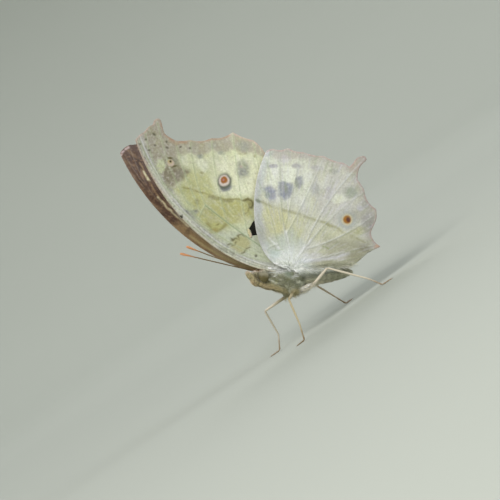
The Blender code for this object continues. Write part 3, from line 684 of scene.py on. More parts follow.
def paint_forewing_under(points):
    """Underside of a forewing."""
    canvas = Canvas(points, CREAM, 1.3, 0.22, 3.0)
    costa = cubic_curve(FOREWING_COSTA, 1.0)
    canvas.marks(FOREWING_GROUND)
    canvas.stroke(costa, 1.9, LILAC, 1.2, 0.6)
    canvas.stroke(costa[:-3] + np.array((0.9, 1.1)), 0.5, BLUE_GREY, 0.9, 0.45)
    canvas.marks(FOREWING_CLOUDS)
    tip = ease(-19.5, -23.5, points[:, 0])
    canvas.lay(WARM_GREY, 0.4 * tip * ease(0.05, 0.5, speckle(points, 0.4, 62.0)))
    canvas.lay((206, 200, 196), 0.5 * tip * ease(0.1, 0.5, speckle(points, 0.5, 63.0)))
    canvas.marks(FOREWING_FIGURES)
    for line in (((-11.3, 6.8), (-10.7, 6.3), (-10.15, 6.6), (-9.45, 6.35), (-9.55, 7.25), (-8.7, 7.5),
            (-7.9, 6.75)), ((-11.9, 5.4), (-11.2, 5.75), (-10.5, 5.45), (-10.1, 5.9)), ((-9.5, 3.3),
            (-8.3, 3.8), (-7.8, 4.4), (-7.1, 4.7))):
        canvas.stroke(line, 0.16, DARK_OLIVE, 0.3, 0.8, False, 0.6)
    canvas.spot((-10.9, 6.4), (0.5, 0.25), DARK_OLIVE, 0.6, 0.6, 20.0)
    canvas.spot((-10.6, 5.4), (0.5, 0.22), DARK_OLIVE, 0.6, 0.6, 10.0)
    # Fine dark lines and specks along the costa
    for shift, width, colour, strength in ((0.55, 0.05, SPECK, 0.55), (1.1, 0.06, WARM_GREY, 0.7),
            (1.65, 0.05, SPECK, 0.35)):
        canvas.stroke(costa + shift * COSTA_INWARDS, width, colour, 0.14, strength, True)
    canvas.stroke(costa, 0.1, TAN, 0.2, 0.7, True)
    canvas.stroke(costa + 1.4 * COSTA_INWARDS, 0.16, (224, 226, 230), 0.35, 0.65, True, 0.35)
    canvas.stroke(costa[len(costa) // 2:-6] + 0.8 * COSTA_INWARDS, 0.3, (228, 229, 226), 0.5, 0.6, True)
    for centre, size in (((-12.9, 4.5), (1.1, 0.35)), ((-10.9, 3.8), (0.9, 0.3)),
            ((-22.0, 23.1), (0.8, 0.6))):
        canvas.spot(centre, size, (126, 128, 112), 0.55, 0.5, -25.0)
    near_costa = 1 - ease(1.2, 2.4, distance_to(points, costa[:-4]))
    canvas.lay(SPECK, 0.55 * near_costa * ease(0.3, 0.6, speckle(points, 0.35, 27.0)))
    canvas.lay(WHITE, 0.5 * near_costa * ease(0.2, 0.6, speckle(points, 0.5, 28.0)))
    # Veins
    for vein in FOREWING_VEINS:
        canvas.stroke(curve_between(*vein, 12), 0.24, GREEN_WHITE, 0.3, 0.3, True)
        canvas.stroke(curve_between(*vein, 12), 0.07, VEIN_GREEN, 0.16, 0.6, True, 0.7)
    canvas.stroke(curve_between(*FOREWING_VEINS[10], 12), 0.1, (122, 146, 112), 0.2, 0.6, True)
    # Marginal line, pinker on the tornus and the hooked tip
    outline = wing_outline(FOREWING_COSTA, FOREWING_MARGIN, FOREWING_BASE)[0]
    edge_line = outline[(outline[:, 1] > 22.5) & (outline[:, 0] > -30.4)]
    canvas.stroke(edge_line, 0.34, PINK, 0.5, 0.75, True, 0.7)
    salmon = edge_line[(edge_line[:, 0] > -24.6) & (edge_line[:, 0] < -10.5)]
    canvas.stroke(salmon, 0.34, (172, 148, 128), 0.5, 0.8, True, 0.75)
    canvas.stroke(((-22.9, 27.4), (-21.7, 26.7), (-19.6, 26.8)), 0.3, SALMON, 0.6, 0.35)
    # Small black specks of the apex
    for centre, radius in (((-26.35, 28.7), 0.27), ((-28.0, 27.7), 0.24), ((-29.3, 26.85), 0.2),
            ((-26.15, 26.5), 0.2), ((-27.55, 25.45), 0.22), ((-23.65, 25.9), 0.24), ((-23.6, 27.1), 0.2),
            ((-20.7, 25.9), 0.2), ((-18.7, 25.6), 0.2), ((-21.5, 11.7), 0.28), ((-5.9, 2.9), 0.26)):
        canvas.spot(centre, (radius * 1.25, radius), SPECK, 0.8, 0.5, -30.0)
    # The two eyespots
    eyespot(canvas, (-23.2, 22.95), (
        ((0.05, 0.82), (0.55, 0.2), DARK_OLIVE, 0.5),
        ((0.7, -0.9), (0.65, 0.22), DARK_OLIVE, 0.5),
        ((0.1, -0.2), (0.68, 0.66), (208, 190, 176), 0.2),
        ((-0.1, 0.1), (0.46, 0.42), (198, 182, 138), 0.35),
        ((0.0, 0.15), (0.24, 0.26), (56, 44, 24), 0.35)))
    eyespot(canvas, (-12.0, 18.85), (
        ((0.35, -1.7), (1.25, 0.7), SLATE, 0.45),
        ((0.15, -0.32), (1.56, 1.64), (98, 102, 92), 0.22),
        ((0.05, -0.12), (1.14, 1.16), (214, 202, 198), 0.2),
        ((0.08, 0.0), (0.76, 0.74), (158, 98, 38), 0.25),
        ((0.0, 0.0), (0.24, 0.24), (180, 124, 128), 0.5)))
    canvas.spot((-8.0, 21.4), (0.28, 0.24), (178, 166, 158), 1.0, 0.6)
    canvas.spot((-21.5, 11.7), (0.36, 0.24), (56, 54, 42), 1.0, 0.5, -30.0)
    u, w = points.T
    # Painted light and shade: darker towards the tip and lighter towards the root, as the light falls across
    # the wing; smaller terms lighten and darken parts of the middle.
    canvas.tone(0.79 + 0.24 * ease(-28.0, -6.0, u) + 0.08 * ease(14.0, 17.0, w) * ease(-13.0, -9.0, u)
                - 0.07 * (1 - ease(13.0, 16.0, w)) * ease(-22.0, -18.0, u) * (1 - ease(-9.0, -4.0, u)),
                (1.0, 0.985, 0.94))
    return canvas.colour


# Marks of the hindwing's underside, in the order in which they are laid
HINDWING_GROUND = (
    ("field", ((-5.2, 13.0), (-3.0, 13.0), (2.4, 11.2), (5.4, 9.8), (4.0, 6.0), (1.0, 4.6), (-3.2, 6.0)),
        (200, 200, 160), 1.8, 0.9),
    ("field", ((-3.4, 12.2), (0.4, 11.4), (1.0, 8.6), (0.2, 6.6), (-1.4, 6.4), (-2.2, 9.6)),
        (196, 192, 144), 2.4, 0.75),
    ("field", ((-4.6, 23.0), (6.0, 22.6), (7.0, 12.0), (-4.4, 14.6)), (214, 216, 200), 2.0, 0.8),
    ("field", ((7.0, 21.0), (16.6, 18.6), (17.6, 9.0), (11.6, 8.2), (7.4, 12.0)), (196, 194, 186), 2.2,
        0.8),
    ("field", ((4.4, 5.6), (9.6, 9.2), (17.8, 4.8), (12.0, 5.0)), (194, 194, 160), 1.4, 0.6),
    ("field", ((9.0, 6.0), (15.5, 5.0), (19.5, 2.5), (14.0, -1.5), (5.0, -1.5), (4.0, 0.6), (8.4, 2.2)),
        FIELD_OLIVE, 2.2, 0.8),
    ("field", ((4.6, -1.0), (9.6, 0.9), (14.8, 0.6), (13.0, -1.6)), (140, 138, 112), 1.2, 0.6),
    ("field", ((0.6, 1.4), (5.0, 4.6), (2.0, 8.0), (-4.4, 6.0), (-4.0, 2.2)), BASE_GREY, 1.8, 0.7),
)

HINDWING_CLOUDS = (
    ("field", ((-3.9, 16.8), (-2.6, 17.0), (-1.0, 16.1), (-1.1, 14.5), (-1.8, 13.9), (-2.7, 14.0),
        (-3.4, 15.2)), (142, 146, 162), 0.9, 0.95),
    ("field", ((-0.6, 16.6), (-0.3, 17.8), (1.0, 17.9), (2.7, 17.3), (2.6, 15.4), (1.9, 14.4), (0.8, 13.9),
        (0.0, 14.5), (-0.6, 15.1)), (141, 145, 160), 0.9, 0.95),
    ("field", ((3.3, 18.4), (4.9, 19.0), (5.2, 17.4), (4.2, 16.2), (3.2, 16.5)), (140, 142, 154), 0.7,
        0.85),
    ("field", ((-2.8, 20.5), (-0.4, 20.7), (-0.7, 17.1), (-2.7, 17.3)), WHITE, 0.5),
    ("field", ((0.8, 20.9), (3.7, 21.0), (3.2, 17.7), (0.5, 17.8)), WHITE, 0.5),
    # Whites and clouds between the veins
    ("spot", (6.0, 18.2), (1.2, 2.2), WHITE, 0.6),
    ("spot", (12.7, 13.8), (1.5, 0.9), WHITE, 0.85),
    ("spot", (9.4, 17.6), (1.2, 1.8), WHITE, 0.35),
    ("spot", (-2.0, 22.6), (1.0, 0.6), WHITE, 0.6),
    ("spot", (1.2, 22.4), (1.4, 0.7), (208, 204, 204), 0.7),
    ("spot", (-2.9, 15.0), (0.45, 0.6), (120, 140, 136), 0.6),
    ("spot", (1.2, 16.2), (0.9, 0.7), SLATE, 0.6),
    ("spot", (7.6, 16.0), (1.1, 1.2), BLUE_GREY, 0.45),
    ("spot", (-1.4, 21.1), (0.9, 0.4), (160, 156, 164), 0.8),
    ("spot", (3.7, 21.0), (1.0, 0.5), (160, 156, 160), 0.75),
    ("spot", (8.0, 20.4), (1.1, 0.5), (162, 158, 162), 0.5),
    ("spot", (12.0, 19.6), (1.2, 0.7), (160, 162, 156), 0.6),
    ("spot", (15.6, 15.0), (1.6, 1.2), (156, 162, 148), 0.85),
    ("spot", (17.3, 11.6), (0.7, 0.5), (204, 202, 214), 0.8),
    ("spot", (18.6, 12.4), (0.9, 0.8), (160, 160, 152), 0.6),
    ("spot", (18.8, 8.6), (1.5, 2.2), (158, 154, 152), 0.75),
    ("spot", (16.0, 7.0), (1.7, 1.0), (176, 174, 132), 0.75),
    ("spot", (17.9, 3.2), (1.3, 0.7), (122, 116, 92), 0.8),
    ("spot", (13.6, 2.0), (2.6, 0.9), (158, 154, 126), 0.5),
    ("spot", (2.4, 22.9), (3.4, 0.5), (182, 172, 170), 0.5),
    ("spot", (10.6, 15.2), (0.8, 1.6), (176, 172, 180), 0.5),
    ("spot", (6.0, 2.3), (2.2, 0.5), LILAC, 0.5),
    ("spot", (4.6, 1.3), (1.8, 0.45), LILAC, 0.6),
    # Natural unevenness
    ("clouds", LILAC, 2.6, 31.0, 0.2),
    ("clouds", YELLOW_OLIVE, 2.0, 32.0, 0.16),
    ("clouds", GREY_MAUVE, 0.7, 33.0, 0.26),
    ("clouds", WHITE, 0.55, 34.0, 0.22),
    ("clouds", OLIVE, 0.42, 39.0, 0.1),
    ("streaks", VEIN_GREEN, 35.0, 0.3),
    ("streaks", LILAC, 36.0, 0.35),
    # Discal line
    ("stroke", ((-5.0, 14.2), (-3.1, 13.2), (-0.1, 12.1), (2.4, 11.4), (5.8, 10.1), (8.0, 9.3),
        (9.75, 8.65), (11.3, 8.0), (13.8, 6.4), (16.2, 5.4), (18.5, 4.1)), 0.2, (150, 148, 108), 0.8, 0.8,
        False, 0.65),
    ("spot", (10.1, 8.6), (1.1, 0.35), (142, 140, 94), 0.55, 0.5, -22.0),
    ("spot", (-5.1, 14.1), (0.6, 0.35), (120, 128, 108), 0.8, 0.5, -30.0),
    ("stroke", ((8.7, 4.1), (9.5, 3.8), (9.9, 3.3)), 0.12, (140, 150, 98), 0.3, 0.7),
)

HINDWING_FIGURES = (
    ("stroke", ((2.2, 0.8), (3.6, 1.2), (6.9, 1.3), (10.9, 1.5), (14.3, 2.2)), 0.35, (206, 206, 212), 0.7,
        0.6),
    ("stroke", ((-1.9, 3.9), (-1.2, 3.5), (-0.4, 3.7)), 0.1, (146, 160, 112), 0.25, 0.8),
    ("spot", (-2.0, 3.0), (1.1, 0.8), (176, 192, 184), 0.6, 0.6),
    ("spot", (-0.2, 5.6), (0.9, 1.0), (184, 194, 184), 0.4, 0.6),
    ("spot", (10.0, 0.0), (4.5, 0.7), (146, 146, 122), 0.6, 0.6),
    ("spot", (15.5, 1.4), (1.8, 1.0), (136, 134, 108), 0.6, 0.6),
    ("spot", (4.2, 0.2), (0.9, 0.4), (132, 146, 126), 0.5, 0.6),
)


def paint_hindwing_under(points):
    """Underside of a hindwing."""
    canvas = Canvas(points, (200, 200, 182), 1.4, 0.22, 7.0)
    front = cubic_curve(HINDWING_FRONT, 1.0)
    canvas.marks(HINDWING_GROUND)
    # Margin, tail and the pearly front edge
    outline = wing_outline(HINDWING_FRONT, HINDWING_MARGIN, HINDWING_BASE)[0]
    outer = outline[(outline[:, 1] > 3.2) & (outline[:, 0] > -2.6)]
    canvas.stroke(outer, 1.2, (180, 174, 168), 1.4, 0.7)
    canvas.field(((15.0, 19.4), (16.6, 22.6), (19.8, 23.0), (19.8, 20.9), (17.6, 18.6)), (182, 170, 158),
        0.8, 0.85)
    canvas.stroke(front[5:] + np.array((0.5, 0.0)), 1.1, (190, 196, 192), 1.2, 0.75)
    canvas.stroke(front[5:] + np.array((0.2, 0.0)), 0.45, (208, 208, 208), 0.7, 0.75, False, 0.3)
    canvas.marks(HINDWING_CLOUDS)
    # Veins: fine and greenish, with pale banks on those that run to the tail and the anal angle
    for vein in HINDWING_VEINS:
        canvas.stroke(curve_between(*vein, 12), 0.07, (160, 168, 140), 0.2, 0.55, True, 0.6)
    for index, strength in ((5, 0.6), (7, 0.45), (8, 0.5), (6, 0.4), (2, 0.2), (4, 0.3)):
        line = curve_between(*HINDWING_VEINS[index], 14)
        canvas.stroke(line, 0.14, (214, 214, 214), 0.32, strength, True, 0.7)
        canvas.stroke(line + np.array((0.2, -0.2)), 0.06, (150, 150, 128), 0.2, strength * 0.8, True, 0.4)
    # The root, pale with hair
    for line in (((-3.0, 6.4), (-1.1, 4.1), (1.3, 1.4)), ((0.6, 7.6), (1.2, 4.7), (1.8, 1.2)),
            ((6.1, 5.4), (3.9, 3.4), (1.8, 1.1)), ((-4.6, 3.2), (-2.2, 2.6), (0.6, 1.2))):
        canvas.stroke(line, 0.16, (224, 224, 222), 0.4, 0.7, False, 0.3)
    canvas.marks(HINDWING_FIGURES)
    canvas.stroke(outer, 0.28, (186, 158, 150), 0.45, 0.75, True, 0.6)
    # Eyespot and the orange mark of the anal angle
    eyespot(canvas, (14.3, 9.38), (
        ((0.05, -0.1), (1.9, 1.85), (168, 172, 168), 0.45),
        ((0.0, 0.0), (1.25, 1.2), (200, 192, 160), 0.3),
        ((0.0, 0.0), (0.86, 0.84), (158, 106, 38), 0.25),
        ((0.24, -0.08), (0.4, 0.48), (92, 48, 36), 0.4)))
    canvas.spot((20.7, 3.6), (0.7, 0.4), (206, 168, 140), 0.8, 0.7, 20.0)
    reach = np.linalg.norm(points - np.array((1.5, 0.0)), axis=1)
    canvas.lay((206, 210, 212), 0.4 * (1 - ease(2.5, 6.5, reach)))
    # Painted shade in the slit between the root and the body
    canvas.stroke(((1.0, -0.2), (1.7, -1.0)), 0.16, (80, 92, 66), 0.3, 0.9)
    for centre, size in (((14.8, 4.1), (2.6, 1.3)), ((17.2, 3.2), (2.0, 1.6)), ((-4.4, 7.2), (1.6, 2.2)),
            ((16.6, 10.4), (1.6, 1.2))):
        canvas.spot(centre, size, (150, 148, 128), 0.4, 1.0)
    # Painted light: lighter round the root. The wing is also darker towards its front edge and the tail.
    canvas.tone(1.07 + 0.22 * (1 - ease(2.0, 5.5, reach)) - 0.14 * ease(-3.6, -5.4, points[:, 0])
                - 0.2 * ease(14.5, 20.0, points[:, 0]),
                (1.01, 1.005, 1.05))
    return canvas.colour


# Marks of the forewing's upper side, near its tip
UPPER_TIP_MARKS = (
    ("streaks", TAN, 42.0, 0.25),
    ("stroke", ((-26.4, 25.4), (-25.1, 21.4), (-23.4, 17.6), (-21.7, 14.7)), 0.16, TAN, 0.4, 0.6, False,
        0.6),
    ("field", ((-26.0, 23.6), (-25.5, 23.4), (-24.7, 21.3), (-25.3, 21.4)), (216, 210, 174), 0.4),
    ("spot", (-26.2, 22.6), (0.4, 0.8), (158, 124, 98), 0.5, 0.8),
    # Painted highlight: a pale streak along the near wing's front edge.
    ("stroke", ((-23.6, 17.6), (-22.0, 15.4), (-20.2, 13.2), (-18.0, 11.0)), 0.2, (206, 196, 160), 0.4,
        0.85, False, 0.4),
)


def paint_forewing_upper(points):
    """Upper side of a forewing: pearl with a dark brown tip."""
    canvas = Canvas(points, PEARL, 1.3, 0.25, 13.0)
    costa = cubic_curve(FOREWING_COSTA, 1.0)
    canvas.field(((-34.0, 34.0), (-20.0, 34.0), (-19.6, 25.6), (-20.4, 21.4), (-21.4, 16.8), (-18.0, 11.0),
        (-14.0, 7.2), (-13.0, 2.0), (-32.0, 10.0)), BROWN, 1.4)
    canvas.field(((-22.0, 29.0), (-4.0, 29.5), (-2.0, 23.6), (-4.6, 24.6), (-9.4, 26.6), (-14.2, 25.4),
        (-18.8, 25.2)), BROWN, 1.2, 0.8)
    canvas.stroke(costa[:11 * len(costa) // 20], 2.2, (150, 126, 90), 1.8, 0.9)
    canvas.stroke(costa, 0.5, (116, 90, 70), 0.5, 0.6, True, 0.5)
    outer_part = ease(-13.0, -18.0, points[:, 0])
    canvas.lay(DEEP_BROWN, 0.6 * outer_part * ease(0.0, 0.55, speckle(points, 1.6, 45.0)))
    canvas.lay(DEEP_BROWN, 0.25 * outer_part * ease(0.0, 0.55, speckle(points, 0.8, 41.0)))
    canvas.marks(UPPER_TIP_MARKS)
    # Painted highlight: pinkish light along the edge of the tip.
    for centre in ((-28.4, 28.8), (-29.0, 28.5), (-29.7, 27.9), (-30.0, 27.3)):
        canvas.spot(centre, (0.35, 0.2), (206, 184, 184), 0.8, 0.7, 35.0)
    canvas.lay((138, 110, 84), 0.55 * ease(0.1, 0.5, speckle(points, 0.45, 64.0))
               * ease(-14.0, -20.0, points[:, 0]))
    canvas.stroke(costa[:len(costa) // 2] + np.array((0.5, 0.6)), 0.25, (170, 154, 112), 0.4, 0.8, True)
    for centre, size, colour in (((-12.0, 18.85), (1.1, 1.2), BROWN),
            ((-23.0, 22.9), (0.9, 0.9), DEEP_BROWN), ((-20.6, 23.6), (0.5, 0.9), WHITE)):
        canvas.spot(centre, size, colour, 0.85, 0.3)
    for vein in FOREWING_VEINS:
        canvas.stroke(curve_between(*vein, 12), 0.08, (150, 130, 104), 0.2, 0.35, True, 0.7)
    return canvas.colour


def paint_far_forewing_upper(points):
    """The far forewing's upper side, with a patch of painted shade that shows through the tear."""
    canvas = Canvas(points, PEARL)
    canvas.colour = paint_forewing_upper(points)
    # Painted shade: the dark gap between the wings, seen through the tear.
    canvas.field(SHADE_BEHIND_TEAR, SHADOW, 0.5)
    return canvas.colour


def paint_hindwing_upper(points):
    """Upper side of a hindwing: pearl with two fine dark lines along the margin."""
    canvas = Canvas(points, PEARL, 1.4, 0.2, 17.0)
    outline = wing_outline(HINDWING_FRONT, HINDWING_MARGIN, HINDWING_BASE)[0]
    outer = outline[(outline[:, 1] > 3.2) & (outline[:, 0] > -1.5)]
    canvas.clouds((206, 200, 206), 1.6, 43.0, 0.3)
    canvas.streaks((206, 202, 180), 44.0, 0.3)
    canvas.stroke(outer, 0.3, BROWN, 0.35, 0.8)
    away = distance_to(canvas.points, outer)
    canvas.lay(BROWN, 0.7 * (1 - ease(0.1, 0.3, np.abs(away - 1.2))))
    canvas.lay(BROWN, 0.5 * (1 - ease(0.1, 0.35, np.abs(away - 2.1))))
    eyespot(canvas, (14.3, 9.38), (
        ((0.0, 0.0), (1.1, 1.1), (196, 140, 60), 0.2),
        ((0.0, 0.0), (0.7, 0.7), DEEP_BROWN, 0.2)))
    canvas.spot((1.0, 15.9), (0.9, 0.9), BROWN, 0.8, 0.3)
    for vein in HINDWING_VEINS:
        canvas.stroke(curve_between(*vein, 12), 0.08, (192, 188, 168), 0.2, 0.6, True)
    return canvas.colour


def make_mesh(name, places, faces):
    """A smooth mesh from places in millimetres on the frame's axes and lists of corners."""
    mesh = bpy.data.meshes.new(name)
    faces = [np.asarray(group) for group in faces]
    corners = np.concatenate([group.ravel() for group in faces])
    sizes = np.concatenate([np.full(len(group), group.shape[1]) for group in faces])
    starts = np.concatenate(([0], np.cumsum(sizes)[:-1]))
    mesh.vertices.add(len(places))
    mesh.vertices.foreach_set("co", (np.asarray(places) * MM).astype(np.float32).ravel())
    mesh.loops.add(len(corners))
    mesh.loops.foreach_set("vertex_index", corners.astype(np.int32))
    mesh.polygons.add(len(sizes))
    mesh.polygons.foreach_set("loop_start", starts.astype(np.int32))
    mesh.update(calc_edges=True)
    mesh.validate()
    mesh.polygons.foreach_set("use_smooth", np.ones(len(mesh.polygons), bool))
    return mesh


def add_piece(name, mesh, colours, plane, materials, replaced=()):
    """An object that rides on the frame's only body, with a colour and a place for each vertex.

    The materials take their marks from the colours and draw their fine grain on the places.
    """
    rgba = np.ones((len(colours), 4), np.float32)
    rgba[:, :3] = np.clip(colours, 0.0, 1.0)
    layer = mesh.color_attributes.new("Marks", "FLOAT_COLOR", "POINT")
    layer.data.foreach_set("color", rgba.ravel())
    vectors = np.zeros((len(plane), 3), np.float32)
    vectors[:, :plane.shape[1]] = plane
    layer = mesh.attributes.new("Plane", "FLOAT_VECTOR", "POINT")
    layer.data.foreach_set("vector", vectors.ravel())
    piece = bpy.data.objects.new(name, mesh)
    bpy.context.scene.collection.objects.link(piece)
    for material in materials:
        mesh.materials.append(material)
    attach(piece, "root")
    if replaced:
        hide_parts(*replaced)
    return piece


class Nodes:
    """Short calls for building one material's nodes."""

    def __init__(self, name, roughness, specular):
        self.material = bpy.data.materials.new(name)
        self.material.use_nodes = True
        self.tree = self.material.node_tree
        self.shader = self.tree.nodes["Principled BSDF"]
        self.set(("Roughness", roughness), ("Specular IOR Level", specular))

    def set(self, *settings):
        """The shader's own values, by name."""
        for key, value in settings:
            self.shader.inputs[key].default_value = value

    def add(self, kind, **settings):
        """A node with its inputs or settings given by name."""
        node = self.tree.nodes.new(kind)
        for key, value in settings.items():
            if key in node.inputs:
                node.inputs[key].default_value = value
            else:
                setattr(node, key, value)
        return node

    def join(self, source, target):
        """A link between two sockets."""
        self.tree.links.new(source, target)

    def attribute(self, name, kind="Vector"):
        """An attribute's output."""
        return self.add("ShaderNodeAttribute", attribute_name=name).outputs[kind]

    def noise(self, vector, scale, detail):
        """A noise texture's value."""
        node = self.add("ShaderNodeTexNoise", Scale=scale, Detail=detail)
        self.join(vector, node.inputs["Vector"])
        return node.outputs["Fac"]

    def scaled(self, vector, factors):
        """A vector times fixed factors."""
        node = self.add("ShaderNodeVectorMath", operation="MULTIPLY")
        self.join(vector, node.inputs[0])
        node.inputs[1].default_value = factors
        return node.outputs["Vector"]

    def cells(self, vector, scale, randomness):
        """The distance from the middle of each of many small cells."""
        node = self.add("ShaderNodeTexVoronoi", Scale=scale, Randomness=randomness)
        self.join(vector, node.inputs["Vector"])
        return node.outputs["Distance"]

    def spread(self, value, low, high):
        """A value from 0 to 1 spread from low to high."""
        node = self.add("ShaderNodeMapRange")
        node.inputs["To Min"].default_value = low
        node.inputs["To Max"].default_value = high
        self.join(value, node.inputs["Value"])
        return node.outputs["Result"]

    def times(self, one, two):
        """The product of two values."""
        node = self.add("ShaderNodeMath", operation="MULTIPLY")
        self.join(one, node.inputs[0])
        self.join(two, node.inputs[1])
        return node.outputs["Value"]

    def paint(self, tone):
        """The piece's own marks times a tone, as the shader's colour."""
        node = self.add("ShaderNodeVectorMath", operation="SCALE")
        self.join(self.attribute("Marks", "Color"), node.inputs[0])
        self.join(tone, node.inputs["Scale"])
        self.join(node.outputs["Vector"], self.shader.inputs["Base Color"])

    def bump(self, *heights):
        """Bumps one over another: each is a value, its depth in metres and its strength."""
        normal = None
        for value, depth, strength in heights:
            node = self.add("ShaderNodeBump", Strength=strength, Distance=depth)
            self.join(value, node.inputs["Height"])
            if normal is not None:
                self.join(normal, node.inputs["Normal"])
            normal = node.outputs["Normal"]
        self.join(normal, self.shader.inputs["Normal"])


def wing_material(name, pearl):
    """Scaled membrane: rows of fine scales that vary a little in tone."""
    nodes = Nodes(name, 0.34 if pearl else 0.52, 0.4)
    plane = nodes.attribute("Plane")
    scales = nodes.cells(nodes.scaled(plane, SCALES_PER_MM), 1.0, 0.75)
    tone = nodes.spread(nodes.noise(plane, 2.6, 6.0), 0.72, 1.28)
    grain = nodes.spread(nodes.noise(plane, 9.0, 3.0), 0.84, 1.16)
    nodes.paint(nodes.times(nodes.times(tone, grain), nodes.spread(scales, 1.05, 0.92)))
    nodes.bump((nodes.noise(plane, 1.6, 2.0), 0.08 * MM, 0.35), (scales, 0.03 * MM, 0.5))
    nodes.set(("Sheen Weight", 0.12), ("Sheen Roughness", 0.45))
    if pearl:
        nodes.set(("Coat Weight", 0.35), ("Coat Roughness", 0.3),
                  ("Thin Film Thickness", PEARL_FILM), ("Thin Film IOR", 1.45))
    return nodes.material


def coloured_material(name, roughness, low, high, scale, bump_depth, sheen=0.0):
    """The piece's own marks with a mottled tone and a fine bump of a depth in millimetres."""
    nodes = Nodes(name, roughness, 0.4)
    plane = nodes.attribute("Plane")
    nodes.paint(nodes.spread(nodes.noise(plane, scale, 4.0), low, high))
    nodes.bump((nodes.noise(plane, scale * 2.5, 2.0), bump_depth * MM, 0.6))
    nodes.set(("Sheen Weight", sheen))
    return nodes.material


def eye_material():
    """A dark olive eye of many small facets with a thin, dull coat."""
    nodes = Nodes("compound_eye", 0.55, 0.35)
    plane = nodes.attribute("Plane")
    facets = nodes.cells(plane, FACETS_PER_MM, 0.25)
    bands = nodes.noise(nodes.scaled(plane, (0.7, 0.7, 2.4)), 1.3, 2.0)
    nodes.paint(nodes.times(nodes.spread(facets, 1.2, 0.8), nodes.spread(bands, 0.65, 1.4)))
    nodes.bump((facets, 0.03 * MM, 0.6))
    nodes.set(("Coat Weight", 0.1), ("Coat Roughness", 0.35))
    return nodes.material


def wing_heights(points, veins, outline, seed):
    """How far each place of a wing is raised: veins as ridges, and soft waves between them."""
    ridge = np.zeros(len(points))
    away = np.full(len(points), FAR_AWAY)
    for vein in veins:
        line = curve_between(*vein, 16)
        near = distance_to(points, line)
        away = np.minimum(away, near)
        size = 1.15 - 0.5 * ease(3.0, 22.0, np.linalg.norm(points - line[0], axis=1))
        ridge = np.maximum(ridge, size * np.exp(-(near / (VEIN_WIDTH * size)) ** 2))
    wave = speckle(points, 4.5, seed) + 0.5 * speckle(points, 1.6, seed + 5.0)
    rim = distance_to(points, closed(outline[::3]))
    trough = -0.6 * ease(0.0, 1.6, away) * ease(0.0, 2.0, rim)
    return ridge * VEIN_HEIGHT, (wave * 0.6 + trough) * WAVE_HEIGHT


class Wing:
    """The outline, veins and place of one wing."""

    def __init__(self, name, side, root, shape, hole, seed):
        leading, margin, base, self.veins = shape
        self.name = name
        self.side = side
        self.root = root
        self.hole = hole
        self.seed = seed
        self.outline, self.fringed = wing_outline(leading, margin, base)
        turn = WING_TURN.get(name, 0.0)
        self.turn = np.array(((math.cos(turn), math.sin(turn)), (-math.sin(turn), math.cos(turn))))

    def place(self, places, rise):
        """Places (u, w), raised outwards from the plane, on the frame's axes."""
        return wing_in_world(np.asarray(places) @ self.turn, rise, self.side, self.root)

    def surface(self, places):
        """How far the outer face stands out at each place."""
        ridge, wave = wing_heights(places, self.veins, self.outline, self.seed)
        return camber_at(places) + wave + ridge + SKIN_THICKNESS / 2

    def sheet(self, name, places, faces, outer_rise, inner_rise):
        """A closed sheet of two faces with a rim between them, and where its grain is drawn."""
        facing = faces if self.side < 0 else faces[:, ::-1]
        rim = rim_of(facing)
        count = len(places)
        sides = np.stack((rim[:, 1], rim[:, 0], rim[:, 0] + count, rim[:, 1] + count), 1)
        corners = np.concatenate((self.place(places, outer_rise), self.place(places, inner_rise)))
        mesh = make_mesh(name, corners, (facing, facing[:, ::-1] + count, sides))
        return mesh, np.concatenate((places, places + INNER_GRAIN_SHIFT))


def worn_tip(margin):
    """A forewing's margin with its hooked tip worn down."""
    return tuple(((u, w - TIP_WEAR * float(ease(29.2, 30.8, w)) * (u < -24.0)), bow)
                 for (u, w), bow in margin)


def add_wing(wing, painters, materials):
    """One wing's skin: an under face outwards, an upper face inwards, and the rim between them."""
    places, faces = wing_grid(wing.outline, wing.hole)
    ridge, wave = wing_heights(places, wing.veins, wing.outline, wing.seed)
    middle = camber_at(places) + wave
    outer_rise = middle + SKIN_THICKNESS / 2 + ridge
    inner_rise = middle - SKIN_THICKNESS / 2 - 0.5 * ridge
    mesh, plane = wing.sheet(wing.name, places, faces, outer_rise, inner_rise)
    colours = np.concatenate([painter(places) for painter in painters])
    add_piece(wing.name + "_skin", mesh, colours, plane, materials, (wing.name,))
    slots = np.zeros(len(mesh.polygons), np.int32)
    slots[len(faces):2 * len(faces)] = 1
    mesh.polygons.foreach_set("material_index", slots)


def add_scrap(wing, material):
    """The scrap of membrane that hangs at the tear, curled outwards."""
    places, faces = wing_grid(np.array(SCRAP), None)
    curl = SCRAP_CURL * ease(6.4, 8.4, places[:, 1]) * ease(-7.5, -6.4, places[:, 0])
    rise = wing.surface(places) + SCRAP_GAP + curl
    mesh, plane = wing.sheet("scrap", places, faces, rise + SCRAP_THICKNESS, rise)
    pale = mix(srgb(206, 196, 156), srgb(206, 184, 170), ease(-7.1, -6.7, places[:, 0]))
    add_piece("forewing_scrap", mesh, np.concatenate((pale, pale)), plane, [material])


def smooth_rows(rows, count):
    """Rows eased between the given ones by Catmull-Rom curves, at even distances."""
    rows = np.array(rows, float)
    rows = np.concatenate(([2 * rows[0] - rows[1]], rows, [2 * rows[-1] - rows[-2]]))
    result = []
    for index in range(1, len(rows) - 2):
        before, start, end, after = rows[index - 1:index + 3]
        for t in np.linspace(0.0, 1.0, 12, endpoint=False):
            result.append(0.5 * (2 * start + (end - before) * t
                                 + (2 * before - 5 * start + 4 * end - after) * t * t
                                 + (3 * start - before - 3 * end + after) * t ** 3))
    result = np.array(result + [rows[-2]])
    steps = np.linalg.norm(np.diff(result[:, :3], axis=0), axis=1)
    reach = np.concatenate(([0.0], np.cumsum(steps)))
    places = np.linspace(0.0, reach[-1], count)
    return np.stack([np.interp(places, reach, column) for column in result.T], 1)


